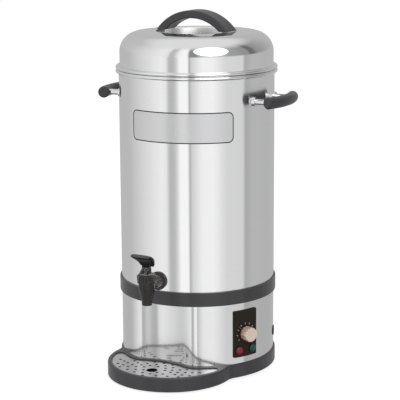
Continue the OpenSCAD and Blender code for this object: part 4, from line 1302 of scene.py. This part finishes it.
@dataclass
class Studio:
    """The white floor, the soft light and the camera."""

    camera_at: Place = (1.2331, -2.1948, 0.8265)
    azimuth: float = math.radians(29)
    pitch: float = math.radians(11.91)
    roll: float = -0.006
    lens: float = 132.55
    sensor: float = 36.0
    shift: float = 0.0065
    floor_size: float = 30.0
    floor_grey: float = 0.42
    floor_glow: float = 0.74
    ambient: float = 0.62
    # Name, place, diameter and power of each soft box, and whether the steel mirrors it
    lamps: tuple[tuple[str, Place, float, float, bool], ...] = (
        ("key", (2.0, -1.5, 2.1), 2.6, 24.0, True),
        ("fill", (-1.9, -1.5, 1.7), 1.8, 12.0, False),
        ("top", (0.0, 0.3, 2.8), 2.0, 10.0, False),
    )
    lamp_aim: Place = (0.0, 0.0, 0.3)
    # Grey levels of the mirrored room: azimuths in degrees and levels, low down and higher up
    walls: tuple[Point, ...] = (
        (-180, 0.48), (-90, 0.52), (-24, 0.91), (-17, 0.85), (-12, 0.50), (-5, 0.52), (0, 0.72), (4, 1.0),
        (16, 1.0), (18, 0.40), (21, 0.68), (36, 0.94), (53, 0.95), (72, 0.72), (100, 0.70), (105, 0.43),
        (120, 0.50), (150, 0.48), (180, 0.48),
    )  # fmt: skip
    loft: tuple[Point, ...] = (
        (-180, 0.48), (-90, 0.55), (-24, 0.88), (-15, 0.80), (-10, 0.50), (-5, 0.55), (2, 0.90), (8, 1.0),
        (15, 1.0), (18, 0.28), (27, 0.26), (38, 0.60), (66, 0.60), (78, 0.38), (112, 0.30), (117, 0.15),
        (124, 0.17), (131, 0.30), (180, 0.48),
    )  # fmt: skip
    ground: float = 0.08
    ceiling: float = 0.76
    # Upward shares of a ray between which one storey of the room goes over into the next
    walls_from: Point = (-0.85, -0.6)
    loft_from: Point = (0.0, 0.12)
    ceiling_from: Point = (0.6, 0.9)

    def build(self) -> None:
        """Make the floor, the world, the lamps and the camera."""
        bpy.context.scene.view_settings.view_transform = "Standard"
        self.floor()
        self.world()
        for lamp in self.lamps:
            self.lamp(*lamp)
        self.camera()

    @staticmethod
    def set_up(name: str, data: bpy.types.ID, place: Place, ahead: Vector, roll: float = 0.0) -> Piece:
        """Put a camera or a lamp in its place, facing ahead and rolled about that direction."""
        thing = bpy.data.objects.new(name, data)
        bpy.context.scene.collection.objects.link(thing)
        thing.location = place
        thing.rotation_mode = "QUATERNION"
        thing.rotation_quaternion = ahead.to_track_quat("-Z", "Y") @ Quaternion((0, 0, 1), roll)
        return thing

    def camera(self) -> None:
        """Make the camera at the photograph's angle."""
        data = bpy.data.cameras.new("camera")
        data.lens, data.sensor_width, data.shift_x = self.lens, self.sensor, self.shift
        level, dip = math.cos(self.pitch), math.sin(self.pitch)
        ahead = Vector((-math.sin(self.azimuth) * level, math.cos(self.azimuth) * level, -dip))
        bpy.context.scene.camera = self.set_up("camera", data, self.camera_at, ahead, self.roll)

    def lamp(self, name: str, place: Place, size: float, power: float, mirrored_too: bool) -> None:
        """Add a round soft box that faces the boiler."""
        data = bpy.data.lights.new(name, "AREA")
        data.shape, data.size, data.energy = "DISK", size, power
        lamp = self.set_up(name, data, place, Vector(self.lamp_aim) - Vector(place))
        lamp.visible_glossy = mirrored_too

    def floor(self) -> None:
        """Make the pale floor, which keeps a soft shadow, is white to the camera and isn't mirrored."""
        bpy.ops.mesh.primitive_plane_add(size=self.floor_size)
        plane = bpy.context.object
        plane.name = "floor"
        material = bpy.data.materials.new("floor")
        nodes = Nodes(material)
        path = nodes.add("LightPath").outputs
        matte = nodes.add("BsdfDiffuse", {"Color": grey(self.floor_grey)})
        seen = nodes.maths("MULTIPLY", path[Ray.CAMERA.value], self.floor_glow)
        glow = nodes.add("Emission", {"Strength": seen})
        both = nodes.add("AddShader", {0: matte.outputs[0], 1: glow.outputs[0]})
        clear = nodes.add("BsdfTransparent")
        pick = {0: path[Ray.GLOSSY.value], 1: both.outputs[0], 2: clear.outputs[0]}
        nodes.add("OutputMaterial", {"Surface": nodes.add("MixShader", pick).outputs[0]})
        plane.data.materials.append(material)

    def world(self) -> None:
        """Make a pale room, white behind the boiler, with lighter and darker walls for the steel."""
        world = bpy.data.worlds.new("room")
        bpy.context.scene.world = world
        nodes = Nodes(world)
        axes = nodes.add("SeparateXYZ", {0: nodes.add("TexCoord").outputs["Generated"]}).outputs
        turn = nodes.maths("ARCTAN2", axes["X"], nodes.maths("MULTIPLY", axes["Y"], -1.0))
        share = nodes.maths("MULTIPLY_ADD", turn, 1 / math.tau, 0.5)
        room = grey(self.ground)
        for storey, span in (
            (self.ramp(nodes, share, self.walls), self.walls_from),
            (self.ramp(nodes, share, self.loft), self.loft_from),
            (grey(self.ceiling), self.ceiling_from),
        ):
            inputs = {"Value": axes["Z"], "From Min": span[0], "From Max": span[1]}
            rise = nodes.add("MapRange", inputs, interpolation_type="SMOOTHSTEP").outputs["Result"]
            inputs = {"Factor": rise, "A": room, "B": storey}
            room = nodes.add("Mix", inputs, data_type="RGBA").outputs["Result"]
        path = nodes.add("LightPath").outputs
        level = nodes.maths("MAXIMUM", path[Ray.CAMERA.value], self.ambient)
        plain = nodes.add("Background", {"Color": grey(1.0), "Strength": level})
        walled = nodes.add("Background", {"Color": room})
        mirrored_ray = nodes.maths("MAXIMUM", path[Ray.GLOSSY.value], path[Ray.TRANSMISSION.value])
        pick = nodes.add("MixShader", {0: mirrored_ray, 1: plain.outputs[0], 2: walled.outputs[0]})
        nodes.add("OutputWorld", {"Surface": pick.outputs[0]})

    @staticmethod
    def ramp(nodes: Nodes, share: Socket, levels: Sequence[Point]) -> Socket:
        """Return the room's grey at a share of a full turn, with the front at one half."""
        node = nodes.add("ValToRGB", {"Fac": share})
        elements = node.color_ramp.elements
        while len(elements) < len(levels):
            elements.new(0.5)
        for element, (azimuth, level) in zip(elements, levels):
            element.position, element.color = azimuth / 360 + 0.5, grey(level)
        return node.outputs["Color"]


def main() -> None:
    """Build the boiler's looks and its studio."""
    Studio().build()
    wardrobe = Wardrobe(FINISHES)
    plan = BodyPlan()
    groups: list[SubAssembly] = [
        Stand(wardrobe, plan),
        Vessel(wardrobe),
        Lid(wardrobe),
        DripGrid(wardrobe, plan),
        TapLever(wardrobe),
        DialKnob(wardrobe),
        Markings(wardrobe),
        CarriedNodes(wardrobe),
    ]
    for group in groups:
        for piece in group.build():
            LOG.info("%s: %s", type(group).__name__, piece.name)


if __name__ == "__main__":
    main()
